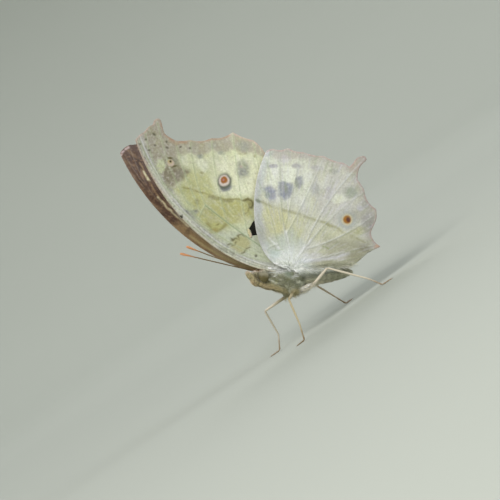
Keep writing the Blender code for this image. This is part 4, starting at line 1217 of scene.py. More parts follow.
def turns(sides):
    """Angles all round, evenly spread."""
    return np.linspace(0.0, 2 * math.pi, sides, endpoint=False)


def ring_quads(count, sides):
    """Quads between rings of places that follow one another."""
    ring = np.arange(sides)
    following = (ring + 1) % sides
    quads = [np.stack((base + ring, base + following, base + sides + following, base + sides + ring), 1)
             for base in range(0, (count - 1) * sides, sides)]
    return np.concatenate(quads)


def tube_faces(count, sides):
    """Quads between rings, and a fan at each end round the last two places."""
    ring = np.arange(sides)
    following = (ring + 1) % sides
    last = (count - 1) * sides
    end = count * sides
    caps = np.concatenate((np.stack((following, ring, np.full(sides, end)), 1),
                           np.stack((last + ring, last + following, np.full(sides, end + 1)), 1)))
    return [ring_quads(count, sides), caps]


def tube(rows, sides, flatness=1.0):
    """Places and faces of a closed tube along rows of x, y, z and radius, flatter across."""
    centres = rows[:, :3]
    ahead = unit(np.gradient(centres, axis=0))
    across = np.cross(ahead[0], (0.0, 0.0, 1.0))
    if np.linalg.norm(across) < 0.2:
        across = np.cross(ahead[0], (0.0, 1.0, 0.0))
    rings = []
    angles = turns(sides)[:, None]
    for centre, direction, radius in zip(centres, ahead, rows[:, 3]):
        across = unit(across - direction * (across @ direction))
        up = np.cross(direction, across)
        rings.append(centre + radius * (flatness * np.cos(angles) * across + np.sin(angles) * up))
    return np.concatenate(rings + [centres[:1], centres[-1:]]), tube_faces(len(rows), sides)


def body_form(count, sides):
    """The loft of head, thorax and abdomen on the body's axes."""
    rows = smooth_rows(BODY_SECTIONS, count)
    angles = turns(sides)
    places = []
    for u, centre, half_width, above, below in rows:
        groove = 1.0
        if u > GROOVES_FROM:
            phase = (u - FIRST_SEGMENT) / SEGMENT_LENGTH
            groove = 1.0 - GROOVE_DEPTH * np.exp(-((phase - round(phase)) / 0.1) ** 2)
        height = np.where(np.sin(angles) > 0, above, below)
        places.append(np.stack((np.full(sides, u), groove * half_width * np.cos(angles),
                                centre + groove * height * np.sin(angles)), 1))
    ends = [[[row[0], 0.0, row[1]]] for row in (rows[0], rows[-1])]
    return np.concatenate(places + ends), tube_faces(count, sides)


def to_body(points):
    """Points on the frame's axes, in millimetres, as (u, y, w) of the body."""
    x, y, z = (np.asarray(points) - ORIGIN).T
    cos, sin = math.cos(BODY_PITCH), math.sin(BODY_PITCH)
    return np.stack((cos * x - sin * z, y, sin * x + cos * z), 1)


# Marks of the body, on its own axes (u, w)
BREAST_PATCHES = (
    # Dark and light patches of the breast's side
    ("spot", (-2.7, -1.3), (0.8, 0.5), (112, 106, 78), 0.85, 0.5, -20.0),
    ("spot", (-1.5, -2.0), (0.9, 0.45), (108, 106, 80), 0.8, 0.5, -20.0),
    ("spot", (0.6, -3.1), (0.9, 0.5), (112, 114, 90), 0.8, 0.5, -20.0),
    ("spot", (1.5, -4.1), (0.7, 0.5), (116, 116, 90), 0.7, 0.5, -20.0),
    ("spot", (1.0, -3.9), (0.8, 0.55), (96, 98, 66), 0.85, 0.5, -20.0),
    ("spot", (3.0, -1.6), (0.5, 0.8), (116, 122, 98), 0.6, 0.5, -20.0),
    ("spot", (-1.0, -3.1), (0.8, 0.3), (172, 170, 148), 0.7, 0.5, -20.0),
    ("spot", (2.3, -3.1), (0.5, 0.7), (170, 172, 156), 0.7, 0.5, -20.0),
    ("spot", (3.6, -2.7), (0.4, 0.9), (168, 170, 154), 0.6, 0.5, -20.0),
    ("spot", (4.6, -1.9), (0.4, 0.9), (172, 174, 160), 0.5, 0.5, -20.0),
)

THROAT_MARKS = (
    # Throat, palps and the legs' roots are tan.
    ("field", ((-10.0, 1.4), (-7.7, 0.6), (-7.0, -0.5), (-5.9, -1.4), (-5.2, -2.4), (-3.9, -2.7),
        (-3.0, -2.9), (-1.9, -3.6), (-0.7, -4.2), (0.8, -4.7), (3.0, -4.4), (6.5, -4.2), (8.0, -8.0),
        (-10.0, -8.0)), (160, 149, 110), 0.7, 0.95),
    ("spot", (-4.0, -3.6), (1.4, 0.5), (168, 148, 114), 0.6, 0.6, -25.0),
    ("spot", (-6.6, -2.8), (1.0, 0.6), (176, 150, 122), 0.5, 0.6, -40.0),
    ("stroke", ((2.3, -5.0), (3.6, -4.6), (4.7, -4.25), (6.0, -3.8)), 0.4, (192, 186, 168), 0.3, 0.95),
)

ROOT_LOOPS = (
    # Pale stripes and the loops of whitish hair below the wings' roots
    ("stroke", ((-6.4, -0.5), (-4.8, -0.2), (-3.1, -0.7)), 0.2, (208, 204, 192), 0.4, 0.8),
    ("stroke", ((-3.7, -1.8), (-3.2, -2.3), (-2.4, -2.7), (-1.6, -3.0)), 0.15, (222, 220, 206), 0.3, 0.85),
    ("stroke", ((-3.5, 0.2), (-2.0, -0.1), (-0.7, -0.4), (0.2, 0.0), (1.3, -0.5), (1.8, -1.6), (0.9, -1.9),
        (-0.1, -1.5), (-0.9, -0.8), (-2.4, -0.7)), 0.26, (224, 224, 216), 0.45, 0.9),
    ("spot", (0.0, -1.15), (0.75, 0.5), (140, 150, 130), 0.9, 0.4, -30.0),
    # Painted shade in the slit between the hindwing's root and the body
    ("stroke", ((0.9, -0.1), (1.5, -0.9)), 0.1, (92, 102, 78), 0.25, 0.8),
    # Painted shade: a dark hollow before the pale bar by the legs' roots
    ("spot", (1.9, -4.7), (0.35, 0.35), (50, 52, 34), 0.95),
    ("spot", (-5.35, -1.5), (0.55, 0.75), (112, 104, 76), 0.75, 0.4),
    ("stroke", ((-5.9, -1.0), (-5.7, -1.7), (-5.1, -2.4), (-4.2, -2.75), (-3.6, -2.5)), 0.16, (84, 74, 44),
        0.3, 0.85),
)


def paint_body(points):
    """Colours of the body's skin and coat at places on its own axes."""
    u, y, w = points.T
    canvas = Canvas(np.stack((u, w), 1), (158, 156, 126), 0.8, 0.12, 51.0)
    side = np.abs(y)
    canvas.lay((136, 138, 106), ease(-3.4, -2.4, u) * (1 - ease(3.4, 4.6, u)))
    canvas.lay((152, 152, 126), ease(3.8, 5.2, u))
    canvas.lay((188, 180, 156), ease(4.2, 5.2, u) * (1 - ease(-3.2, -2.6, w)))
    canvas.marks(BREAST_PATCHES)
    # Strands of paler and darker hair slant down towards the tail.
    strand = np.stack((0.5 * u - 0.2 * w, 2.6 * (w + 0.4 * u)), 1)
    plain = 1 - 0.7 * ease(4.2, 5.6, u)
    light_strands = plain * ease(0.05, 0.5, speckle(strand, 0.8, 52.0))
    dark_strands = plain * ease(0.05, 0.5, speckle(strand, 0.8, 53.0))
    canvas.lay((206, 208, 196), 0.6 * light_strands)
    canvas.lay((88, 90, 60), 0.6 * dark_strands)
    canvas.marks(THROAT_MARKS)
    canvas.lay((188, 172, 152), (1 - ease(-5.4, -4.8, u)) * ease(-0.9, -0.4, w))
    canvas.lay((196, 186, 160), 0.15 * light_strands)
    canvas.lay((100, 92, 58), 0.25 * dark_strands)
    canvas.marks(ROOT_LOOPS)
    canvas.lay((222, 222, 216), 0.8 * ease(-1.1, -0.3, w) * ease(-4.0, -3.0, u) * (1 - ease(3.6, 5.0, u)))
    canvas.spot((0.0, -1.15), (0.6, 0.35), (130, 142, 122), 0.7, 0.5, -30.0)
    # Whitish hair on the abdomen's upper front below the hindwing's edge, laid lighter still as painted
    # light where the hindwing's shade falls.
    canvas.lay((204, 208, 204), 0.85 * ease(-1.8, -1.2, w) * ease(3.2, 4.0, u) * (1 - ease(7.5, 12.5, u))
               * ease(0.7, 1.3, side))
    canvas.lay((184, 186, 170), 0.6 * ease(-2.7, -1.7, w) * ease(3.4, 4.4, u) * (1 - ease(6.5, 9.5, u)))
    canvas.lay((236, 238, 236), 0.6 * ease(-1.5, -0.8, w) * ease(3.4, 4.2, u) * (1 - ease(6.5, 9.5, u))
               * ease(0.7, 1.3, side))
    canvas.stroke(((2.2, -4.55), (3.2, -4.35), (4.5, -4.1)), 0.3, (226, 216, 200), 0.35, 0.9)
    # Darker rings where the abdomen's segments meet
    for place in np.arange(5.7, 15.0, SEGMENT_LENGTH):
        canvas.lay((186, 184, 164), 0.5 * (1 - ease(0.05, 0.25, np.abs(u - place))))
        canvas.lay((120, 118, 94), 0.5 * (1 - ease(0.05, 0.3, np.abs(u - place - 0.45))))
    # The back is an even grey-brown from the wings to the tail.
    back = (1 - ease(0.6, 1.4, side)) * ease(-1.7, -0.9, w) * ease(-3.6, -2.4, u)
    canvas.lay((176, 172, 152), 0.85 * back)
    canvas.spot((-5.3, -0.1), (0.7, 0.3), (180, 150, 130), 0.7, 0.6)
    canvas.spot((-6.3, -0.4), (0.7, 0.4), (222, 206, 198), 0.8, 0.6)
    # Painted light: the abdomen's upper front flanks, in the hindwing's shade, are made lighter.
    painted_light_under_hindwing = ease(-2.8, -1.4, w) * ease(3.4, 4.4, u) * (1 - ease(6.5, 9.5, u)) * ease(0.7, 1.3, side)
    canvas.tone(1.46 - 0.1 * ease(3.4, 5.4, u) + 0.4 * painted_light_under_hindwing)
    return canvas.colour


def leg_joints(name):
    """A leg's joints on the frame's axes, with the sole at the floor's level."""
    joints = np.array(LEG_JOINTS[name]) + (ORIGIN - np.array(BODY_ORIGIN_PLACED))
    joints[:, 2] = np.array(LEG_JOINTS[name])[:, 2]
    return joints


def body_limbs():
    """Tubes of the palps, the folded forelegs and the walking legs' roots, on the body's axes."""
    for side in (-1, 1):
        for path in (PALP_PATH, FORELEG_PATH):
            rows = [(u, side * y, w, radius) for (u, y, w), radius in path]
            yield tube(smooth_rows(rows, 40), 20, FLATNESS)
    for letter, side in (("L", -1), ("R", 1)):
        for pair, start in HIP_START.items():
            coxa, trochanter = to_body(leg_joints(pair + "_" + letter)[:2])
            first = np.array(start) * np.array((1.0, side, 1.0))
            rows = np.column_stack(((first, coxa, trochanter), HIP_RADII[pair]))
            yield tube(smooth_rows(rows, 20), 20)


def read_vertices(mesh, key):
    """One vector for each vertex of a mesh."""
    values = np.zeros(len(mesh.vertices) * 3, np.float32)
    mesh.vertices.foreach_get(key, values)
    return values.reshape(-1, 3)


def add_body(material):
    """One skin over head, thorax, abdomen, palps, folded forelegs and the legs' roots."""
    places = []
    faces = []
    first = 0
    for part, part_faces in [body_form(190, 72), *body_limbs()]:
        places.append(part)
        faces += [group + first for group in part_faces]
        first += len(part)
    rough = bpy.data.objects.new("body_rough", make_mesh("body", in_world(np.concatenate(places)), faces))
    bpy.context.scene.collection.objects.link(rough)
    melt = rough.modifiers.new("one_skin", "REMESH")
    melt.mode = "VOXEL"
    melt.voxel_size = BODY_VOXEL * MM
    soften = rough.modifiers.new("soften", "SMOOTH")
    soften.factor = 0.6
    soften.iterations = 10
    bpy.context.view_layer.update()
    skin = bpy.data.meshes.new_from_object(rough.evaluated_get(bpy.context.evaluated_depsgraph_get()))
    bpy.data.objects.remove(rough)
    skin.name = "body_skin"
    skin.materials.clear()
    # Small lumps, so that the skin isn't even under its hair
    co = read_vertices(skin, "co")
    own = to_body(co / MM)
    lumps = np.array([noise.noise(Vector(p) * 2.2) + 0.6 * noise.noise(Vector(p) * 5.0) for p in own])
    moved = co + read_vertices(skin, "normal") * (lumps * LUMP_HEIGHT - SKIN_SINK)[:, None] * MM
    skin.vertices.foreach_set("co", moved.ravel())
    skin.update()
    skin.polygons.foreach_set("use_smooth", np.ones(len(skin.polygons), bool))
    nodes = ("head", "thorax", "abdomen", "palp_L", "palp_R", "foreleg_L", "foreleg_R")
    return add_piece("body_skin", skin, paint_body(own) * SKIN_SHADE, own, [material], nodes)


def add_tufts(name, material, roots, ways, lies, lengths, widths, colours, spots,
              sink=0.12, root_shade=0.76):
    """Closed three-sided locks that leave their roots along ways and bend over towards lies.

    Each lock's colour is laid on one small patch of the OFBake map, at its place in spots.
    """
    count = len(roots)
    ways = unit(ways)
    across = unit(np.cross(ways, lies))
    third = np.cross(across, ways)
    places = np.zeros((count, 7, 3))
    lengths = lengths[:, None]
    for ring, (along, bend, width) in enumerate(((0.0, 0.0, 1.0), (0.55, 0.22, 0.75))):
        centre = roots + ways * lengths * along + lies * lengths * bend - ways * sink * (ring == 0)
        for corner in range(3):
            angle = 2 * math.pi * corner / 3
            places[:, 3 * ring + corner] = centre + widths[:, None] * width * (
                math.cos(angle) * across + 0.45 * math.sin(angle) * third)
    places[:, 6] = roots + ways * lengths * 0.8 + lies * lengths * 0.6
    places = places.reshape(-1, 3)
    first = (np.arange(count) * 7)[:, None, None]
    quads = np.array(((0, 1, 4, 3), (1, 2, 5, 4), (2, 0, 3, 5)))[None] + first
    tips = np.array(((3, 4, 6), (4, 5, 6), (5, 3, 6), (2, 1, 0)))[None] + first
    mesh = make_mesh(name, places, (quads.reshape(-1, 4), tips.reshape(-1, 3)))
    shades = np.repeat(colours, 7, 0).reshape(count, 7, 3)
    # Painted shade and light: each lock's root ring is darker by root_shade and its tip lighter.
    shades[:, :3] *= root_shade
    shades[:, 6] *= 1.12
    angles = np.arange(7) * 2 * math.pi / 7
    patch = np.stack((np.cos(angles), np.sin(angles)), 1) * PATCH / 2
    corners = np.zeros(len(mesh.loops), np.int32)
    mesh.loops.foreach_get("vertex_index", corners)
    flat = (spots[:, None] + patch[None]).reshape(-1, 2)
    layer = mesh.uv_layers.new(name="OFBake")
    layer.data.foreach_set("uv", flat[corners].astype(np.float32).ravel())
    add_piece(name, mesh, shades.reshape(-1, 3), places, [material])


def body_spots(own):
    """Where places on the body lie on an unwrap of its skin: length by angle round the axis."""
    u, y, w = own.T
    centre = np.interp(u, [s[0] for s in BODY_SECTIONS], [s[1] for s in BODY_SECTIONS])
    angle = np.arctan2(w - centre, y) / (2 * math.pi) + 0.5
    return np.stack((0.03 + 0.94 * (u + 8.2) / 24.0, 0.03 + 0.94 * angle), 1)


def from_eye(own):
    """How far places on the body's axes are from the nearer eye, as a share of its clearance."""
    u, y, w = own.T
    beside_eye = np.stack((u, np.abs(y), w), 1) - np.array(EYE_PLACE)
    return np.linalg.norm(beside_eye / np.array(EYE_CLEARANCE), axis=1)


class SkinPlaces:
    """Random places on the body's skin, for the roots of its hair."""

    def __init__(self, skin):
        mesh = skin.data
        mesh.calc_loop_triangles()
        triangles = np.zeros(len(mesh.loop_triangles) * 3, np.int32)
        mesh.loop_triangles.foreach_get("vertices", triangles)
        self.corners = (read_vertices(mesh, "co") / MM)[triangles.reshape(-1, 3)]
        first, second, third = self.corners.transpose(1, 0, 2)
        normals = np.cross(second - first, third - first)
        self.areas = np.linalg.norm(normals, axis=1) / 2
        self.normals = normals / np.maximum(self.areas, 1e-9)[:, None] / 2
        self.own = to_body(self.corners.mean(1))
        self.off_eye = from_eye(self.own) > 1.0

    def draw(self, count, density, rng):
        """Roots, normals and body places, as many as count and denser where density is."""
        chance = self.areas * density * self.off_eye
        picks = rng.choice(len(self.areas), count, p=chance / chance.sum())
        weights = rng.dirichlet((1.0, 1.0, 1.0), count)
        roots = np.einsum("nk,nkc->nc", weights, self.corners[picks])
        return roots, self.normals[picks], self.own[picks]


def lie_of_hair(own, normal, rng, stray):
    """Which way the hair lies: tailward, up the palps and brow, forward on the face."""
    u, y, w = own.T
    tailward = in_world([(1.0, 0.0, 0.0)])[0] - ORIGIN
    upward = in_world([(0.0, 0.0, 1.0)])[0] - ORIGIN
    down = ease(0.9, 1.8, np.abs(y)) * (1 - ease(3.0, 5.0, u))
    lie = tailward - 0.3 * down[:, None] * upward
    palps = (u < -6.2) & (w < -0.2)
    lie[palps] = 0.95 * upward - 0.25 * tailward
    face = (u < -5.2) & ~palps
    lie[face] = 0.6 * upward - 0.8 * tailward
    brow = (u > -5.2) & (u < -3.8) & (w > -0.7)
    lie[brow] = 0.5 * upward + 0.7 * tailward
    lie += rng.normal(0.0, stray, lie.shape)
    lie -= normal * np.einsum("nc,nc->n", lie, normal)[:, None]
    return unit(lie), face | brow


def add_body_tufts(name, material, roots, ways, lies, lengths, width, own, shades, rng):
    """Tufts in the body's colours, each of them lighter or darker within two shades."""
    widths = width * rng.uniform(*WIDTH_RANGE, len(roots))
    colours = paint_body(own) * rng.uniform(*shades, len(roots))[:, None]
    add_tufts(name, material, roots, ways, lies, lengths, widths, colours, body_spots(own))


def add_body_coat(skin, material, rng):
    """Short hair and scales all over, long hair on breast, back and legs' roots, and eye rims."""
    ground = SkinPlaces(skin)
    u, y, w = ground.own.T
    thorax = ease(-3.2, -2.2, u) * (1 - ease(3.6, 4.8, u))
    head = 1 - ease(-3.2, -2.4, u)
    abdomen = ease(4.2, 5.2, u)
    roots, normal, own = ground.draw(COAT_TUFTS, 36.0 * thorax + 60.0 * head + 34.0 * abdomen, rng)
    lie, standing = lie_of_hair(own, normal, rng, 0.26)
    lengths = (0.36 + 0.3 * ease(-2.8, -1.6, own[:, 0]) * (1 - ease(3.4, 5.0, own[:, 0])))
    lengths = (lengths + 0.2 * standing) * rng.uniform(0.7, 1.25, COAT_TUFTS)
    ways = normal * (0.35 + 0.45 * standing)[:, None] + lie
    add_body_tufts("body_coat", material, roots, ways, lie, lengths, COAT_WIDTH, own, (0.85, 1.2), rng)

    breast = (1.0 - 0.5 * (w > 0.0)) * thorax + 0.35 * ease(3.4, 4.4, u) * (1 - ease(5.5, 7.5, u))
    roots, normal, own = ground.draw(LONG_TUFTS, breast + 0.25 * head * (u > -3.8), rng)
    lie, standing = lie_of_hair(own, normal, rng, 0.2)
    lengths = rng.uniform(0.75, 1.35, LONG_TUFTS) * (1 - 0.35 * (own[:, 0] < -2.6))
    ways = normal * rng.uniform(0.16, 0.42, LONG_TUFTS)[:, None] + lie
    add_body_tufts("body_long_hair", material, roots, ways, lie, lengths, LONG_WIDTH, own, (0.7, 1.55), rng)

    # Hair that leans over the eyes' rims, most of it from the brow
    brow = 0.4 + 2.4 * ease(-0.9, -0.3, w) + 0.8 * (w < -2.2)
    roots, normal, own = ground.draw(RIM_TUFTS, (from_eye(ground.own) < 1.4) * (np.abs(y) > 0.5) * brow, rng)
    outwards = np.zeros((RIM_TUFTS, 3))
    outwards[:, 1] = np.sign(own[:, 1])
    over_eye = np.array(EYE_PLACE) * np.array((1.0, 0.0, 1.0)) + outwards * (EYE_PLACE[1] + LEAN_OVER_EYE)
    lie = unit(in_world(over_eye) - roots)
    ways = outwards * rng.uniform(0.7, 1.2, RIM_TUFTS)[:, None]
    ways = ways + normal * 0.5 + rng.normal(0.0, 0.15, (RIM_TUFTS, 3))
    lengths = (0.6 + 0.7 * ease(-1.0, -0.2, own[:, 2])) * rng.uniform(0.7, 1.25, RIM_TUFTS)
    add_body_tufts("eye_rim_hair", material, roots, ways, lie, lengths, FINE_WIDTH, own, (0.8, 1.3), rng)


class BodySide:
    """The body's side as a sheet, like a wing, so that hair can be set on it."""

    def __init__(self, side):
        self.side = side

    def surface(self, places):
        """How far the body's side stands out at each (u, w), or 0 off the body."""
        rows = np.array(BODY_SECTIONS)
        u, w = places.T
        centre, half_width, above, below = (np.interp(u, rows[:, 0], rows[:, k]) for k in range(1, 5))
        height = (w - centre) / np.where(w > centre, above, below)
        return half_width * np.sqrt(np.maximum(0.0, 1 - height * height))

    def place(self, places, rise):
        """Places (u, w), out by rise from the middle plane, on the frame's axes."""
        return in_world(np.stack((places[:, 0], self.side * rise, places[:, 1]), 1))


def along_line(line, count, spread, rng):
    """Random places beside a line, and the line's direction at each."""
    line = np.array(line, float)
    reach = np.concatenate(([0.0], np.cumsum(np.linalg.norm(np.diff(line, axis=0), axis=1))))
    here = rng.uniform(0.0, reach[-1] - 0.1, count)
    places = np.stack([np.interp(here, reach, column) for column in line.T], 1)
    ahead = np.stack([np.interp(here + 0.1, reach, column) for column in line.T], 1) - places
    return places + rng.normal(0.0, spread, places.shape), unit(ahead)


def wing_locks(rng):
    """Places, ways, lengths and colours of the hair round one side's wing roots."""
    # Pale hair spreads from the root.
    angle = rng.uniform(-0.6, math.pi + 0.45, ROOT_TUFTS)
    reach = rng.uniform(0.2, 2.6, ROOT_TUFTS) ** 1.1
    way = np.stack((np.cos(angle), np.sin(angle)), 1)
    places = np.array(ROOT_CENTRE) + way * reach[:, None] * np.array((1.25, 0.75))
    lengths = rng.uniform(0.9, 1.9, ROOT_TUFTS)
    colours = mix(srgb(244, 244, 242), srgb(214, 222, 212), rng.uniform(0.0, 1.0, ROOT_TUFTS))
    yield places, way, lengths, colours
    # Along the inner edge the hair trails towards the tail, over the abdomen.
    count = TRAIL_TUFTS
    places = np.stack((rng.uniform(3.0, 15.5, count), -0.9 + 1.5 * rng.uniform(0.0, 1.0, count) ** 1.6), 1)
    way = np.stack((np.ones(count), rng.uniform(-0.45, -0.05, count)), 1)
    lengths = rng.uniform(0.6, 1.2, count)
    yield places, way, lengths, paint_hindwing_under(places) * rng.uniform(1.0, 1.5, count)[:, None]
    # Behind the root longer pale hair hangs from the edge.
    count = HANG_TUFTS
    places = np.stack((rng.uniform(2.2, 9.5, count), rng.uniform(-0.75, -0.2, count)), 1)
    steep = 0.35 + 1.1 * (1 - ease(5.0, 9.0, places[:, 0]))
    way = np.stack((np.ones(count), -steep * rng.uniform(0.4, 1.1, count)), 1)
    lengths = rng.uniform(0.8, 2.1, count)
    colours = mix(srgb(232, 234, 234), srgb(168, 172, 152), ease(1.2, 2.0, lengths))
    yield places, way, lengths, colours * rng.uniform(0.85, 1.15, count)[:, None]
    # Whitish locks loop round the roots, some of them on the body.
    for line, count, colour in ROOT_LOCKS:
        places, way = along_line(line, count, LOCK_SPREAD, rng)
        lengths = rng.uniform(0.5, 0.9, count)
        yield places, way, lengths, srgb(*colour) * rng.uniform(0.9, 1.15, count)[:, None]


def add_wing_hair(wing, behind, letter, material, rng):
    """Hair on the hindwing, beyond it on the forewing's root, and below both on the body."""
    places, way, lengths, colours = (np.concatenate(part) for part in zip(*wing_locks(rng)))
    way += rng.normal(0.0, 0.12, way.shape)
    body_side = BodySide(wing.side)
    on_hind = inside(places, wing.outline)
    on_fore = inside(places, behind.outline) & ~on_hind
    on_body = (body_side.surface(places) > 0.9) & ~on_hind & ~on_fore
    pieces = []
    for sheet, chosen in ((wing, on_hind), (behind, on_fore), (body_side, on_body)):
        here = places[chosen]
        rise = sheet.surface(here)
        roots = sheet.place(here, rise)
        along = sheet.place(here + way[chosen], rise) - roots
        outwards = sheet.place(here, rise + 1.0) - roots
        lift = rng.uniform(0.02, 0.16, len(here))[:, None]
        pieces.append((roots, along + outwards * lift, along, lengths[chosen], colours[chosen], here))
    roots, ways, lies, lengths, colours, here = (np.concatenate(part) for part in zip(*pieces))
    spots = 0.05 + 0.9 * (here - wing.outline.min(0)) / BAKE_REACH
    widths = FINE_WIDTH * rng.uniform(*WIDTH_RANGE, len(roots))
    add_tufts("wing_hair_" + letter, material, roots, ways, unit(lies), lengths, widths, colours,
              spots, 0.12, 0.92)


def add_fringe(wing, painter, material, rng):
    """Fine scales that stand out along a wing's outer margin."""
    outline = wing.outline
    ahead = unit(np.roll(outline, -1, 0) - np.roll(outline, 1, 0))
    outwards = np.stack((-ahead[:, 1], ahead[:, 0]), 1)
    if inside((outline + 0.05 * outwards)[wing.fringed], outline).mean() > 0.5:
        outwards = -outwards
    picks = np.repeat(np.nonzero(wing.fringed)[0], 2)
    ahead = ahead[picks]
    outwards = outwards[picks]
    jitter = rng.uniform(-0.5, 0.5, len(picks))[:, None] * EDGE_STEP
    places = outline[picks] + ahead * jitter - outwards * 0.3
    rise = camber_at(places) + rng.uniform(-0.05, 0.05, len(picks))
    rise += wing_heights(places, wing.veins, outline, wing.seed)[1]
    roots = wing.place(places, rise)
    lengths = rng.uniform(0.22, 0.38, len(picks))
    slant = rng.normal(0.0, 0.25, len(picks))[:, None]
    ways = wing.place(places + outwards + ahead * slant, rise) - roots
    lies = wing.place(places + ahead, rise) - roots
    colours = painter(places + outwards * 0.1) * rng.uniform(0.75, 1.15, len(picks))[:, None]
    spots = 0.05 + 0.9 * (places - outline.min(0)) / BAKE_REACH
    name = wing.name.replace("wing_", "wing_fringe_")
    widths = np.full(len(picks), FRINGE_WIDTH)
    add_tufts(name, material, roots, ways, lies * 0.2, lengths, widths, colours, spots, 0.0)


def add_eye(letter, material):
    """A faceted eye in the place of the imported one."""
    rings = 48
    sides = 64
    polar = np.linspace(0.0, math.pi, rings + 1)[1:-1, None]
    around = turns(sides)
    ball = np.stack((np.sin(polar) * np.cos(around), np.sin(polar) * np.sin(around),
                     np.repeat(np.cos(polar), sides, 1)), -1)
    places = np.concatenate(([(0.0, 0.0, 1.0)], ball.reshape(-1, 3), [(0.0, 0.0, -1.0)]))
    quads = 1 + ring_quads(rings - 1, sides)[:, TURNED_OVER]
    ring = np.arange(sides)
    following = (ring + 1) % sides
    last = 1 + (rings - 2) * sides
    caps = np.concatenate((np.stack((np.zeros(sides, int), 1 + ring, 1 + following), 1),
                           np.stack((last + following, last + ring, np.full(sides, len(places) - 1)), 1)))
    u, y, w = EYE_PLACE
    own = places * np.array(EYE_RADII) + np.array((u, -y if letter == "L" else y, w))
    mesh = make_mesh("eye_" + letter, in_world(own), (quads, caps))
    band = ease(-0.4, 0.9, places[:, 2] + 0.3 * places[:, 0])
    colours = mix(srgb(92, 84, 50), srgb(172, 167, 148), band)
    add_piece("eye_lens_" + letter, mesh, colours, own, [material], ("eye_" + letter,))


def add_antenna(letter, side, material):
    """A ringed shaft that thickens into an orange club."""
    mirror = np.array((1.0, side, 1.0))
    tip = np.array(ANTENNA_TIPS[letter])
    line = curve_between(ANTENNA_BASE, ANTENNA_PULL, tip, 130)
    left = np.linalg.norm(line - tip, axis=1)
    club = 1 - ease(0.0, CLUB_LENGTH, left)
    radii = SHAFT_RADIUS + 0.17 * club * (0.55 + 0.45 * ease(0.0, 0.8, left))
    radii *= 1.0 + 0.07 * np.cos(np.arange(len(line)) * math.pi)
    radii[:4] = np.linspace(0.3, 0.17, 4)
    radii[-1] = SHAFT_RADIUS
    own, faces = tube(np.column_stack((line * mirror, radii)), 16)
    mesh = make_mesh("antenna_" + letter, in_world(own), faces)
    near_base = np.linalg.norm(own - line[0] * mirror, axis=1)
    near_tip = np.linalg.norm(own * mirror - tip, axis=1)
    colours = mix(srgb(122, 100, 66), srgb(150, 120, 84), 1 - ease(0.0, 2.2, near_base))
    colours = mix(colours, srgb(214, 150, 106), 1 - ease(1.0, 4.2, near_tip))
    add_piece("antenna_skin_" + letter, mesh, colours, own, [material], ("antenna_" + letter,))


def spike(root, way, length, width):
    """The four places of a short closed thorn."""
    way = unit(way)
    across = unit(np.cross(way, (0.31, 0.77, 0.55)))
    third = np.cross(way, across)
    places = [root + width * (math.cos(a) * across + math.sin(a) * third) for a in (0.0, 2.1, 4.2)]
    return places + [root + way * length]


def leg_rows(joints):
    """Rows of x, y, z and radius along a leg, with the foot's joints as swellings."""
    rows = []
    for start, end, (thick, thin, count, swelling) in zip(joints, joints[1:], LEG_PARTS):
        for t in np.linspace(0.0, 1.0, count, endpoint=False):
            swell = 1.0 + swelling * math.sin(math.pi * t)
            rows.append((*(start + (end - start) * t), (thick + (thin - thick) * t) * swell))
    rows = np.array(rows + [(*joints[-1], 0.08)])
    for _ in range(3):
        rows[1:-1, :3] = 0.5 * rows[1:-1, :3] + 0.25 * (rows[:-2, :3] + rows[2:, :3])
    beads = np.arange(FOOT_RINGS)
    rows[-1 - FOOT_RINGS:-1, 3] *= 1.0 + 0.18 * np.cos(beads * 2 * math.pi / RINGS_PER_BEAD)
    rows[:, 2] = np.maximum(rows[:, 2], rows[:, 3])
    return rows


def leg_thorns(rows, rng):
    """Root, way, length and width of each thorn along tibia and foot, and of the two claws."""
    for index in range(FIRST_THORN, len(rows) - 3, 2):
        centre = rows[index, :3]
        ahead = unit(rows[index + 1, :3] - rows[index - 1, :3])
        out = unit(np.cross(ahead, rng.normal(0.0, 1.0, 3)))
        # Near the floor a thorn points up.
        if centre[2] < 0.5 and out[2] < 0.2:
            out[2] = abs(out[2]) + 0.3
        yield centre + out * rows[index, 3] * 0.7, out + 1.1 * ahead, 0.34, 0.035
    heading = unit(rows[-1, :3] - rows[-4, :3])
    sideways = np.cross(heading, (0.0, 0.0, 1.0))
    for hand in (-1.0, 1.0):
        yield rows[-1, :3], heading + hand * 0.45 * sideways - np.array((0.0, 0.0, 0.1)), 0.42, 0.06


def leg_colours(name, places, trochanter, knee):
    """Pale, browner towards the floor and at the knee. A middle leg's thigh has the body's tan."""
    brown = 0.85 * (1 - ease(0.4, 3.6, places[:, 2]))
    at_knee = 0.5 * (1 - ease(0.1, 0.45, np.linalg.norm(places - knee, axis=1)))
    colours = mix(srgb(206, 196, 176), srgb(140, 116, 88), brown)
    colours = mix(colours, srgb(150, 132, 104), at_knee)
    if name.startswith("midleg"):
        reach = np.linalg.norm(places - trochanter, axis=1)
        thigh = 1 - ease(0.3, 0.7 * np.linalg.norm(knee - trochanter), reach)
        colours = mix(colours, srgb(146, 134, 100), thigh)
    return colours * np.array(LEG_TINT.get(name, (1.0, 1.0, 1.0)))


def add_leg(name, material, rng):
    """Femur, tibia with thorns, five-jointed foot and a pair of claws."""
    joints = leg_joints(name)
    joints[-2:, 2] = FOOT_LEVELS
    rows = leg_rows(joints)
    places, faces = tube(rows, 14)
    thorns = np.concatenate([spike(*thorn) for thorn in leg_thorns(rows, rng)])
    first = len(places) + np.arange(0, len(thorns), 4)[:, None, None]
    thorn_faces = np.array(((0, 1, 3), (1, 2, 3), (2, 0, 3), (2, 1, 0))) + first
    places = np.concatenate((places, thorns))
    places[:, 2] = np.maximum(places[:, 2], 0.02)
    mesh = make_mesh(name, places, [*faces, thorn_faces.reshape(-1, 3)])
    colours = leg_colours(name, places, joints[1], joints[2])
    add_piece(name + "_skin", mesh, colours, places, [material], (name,))


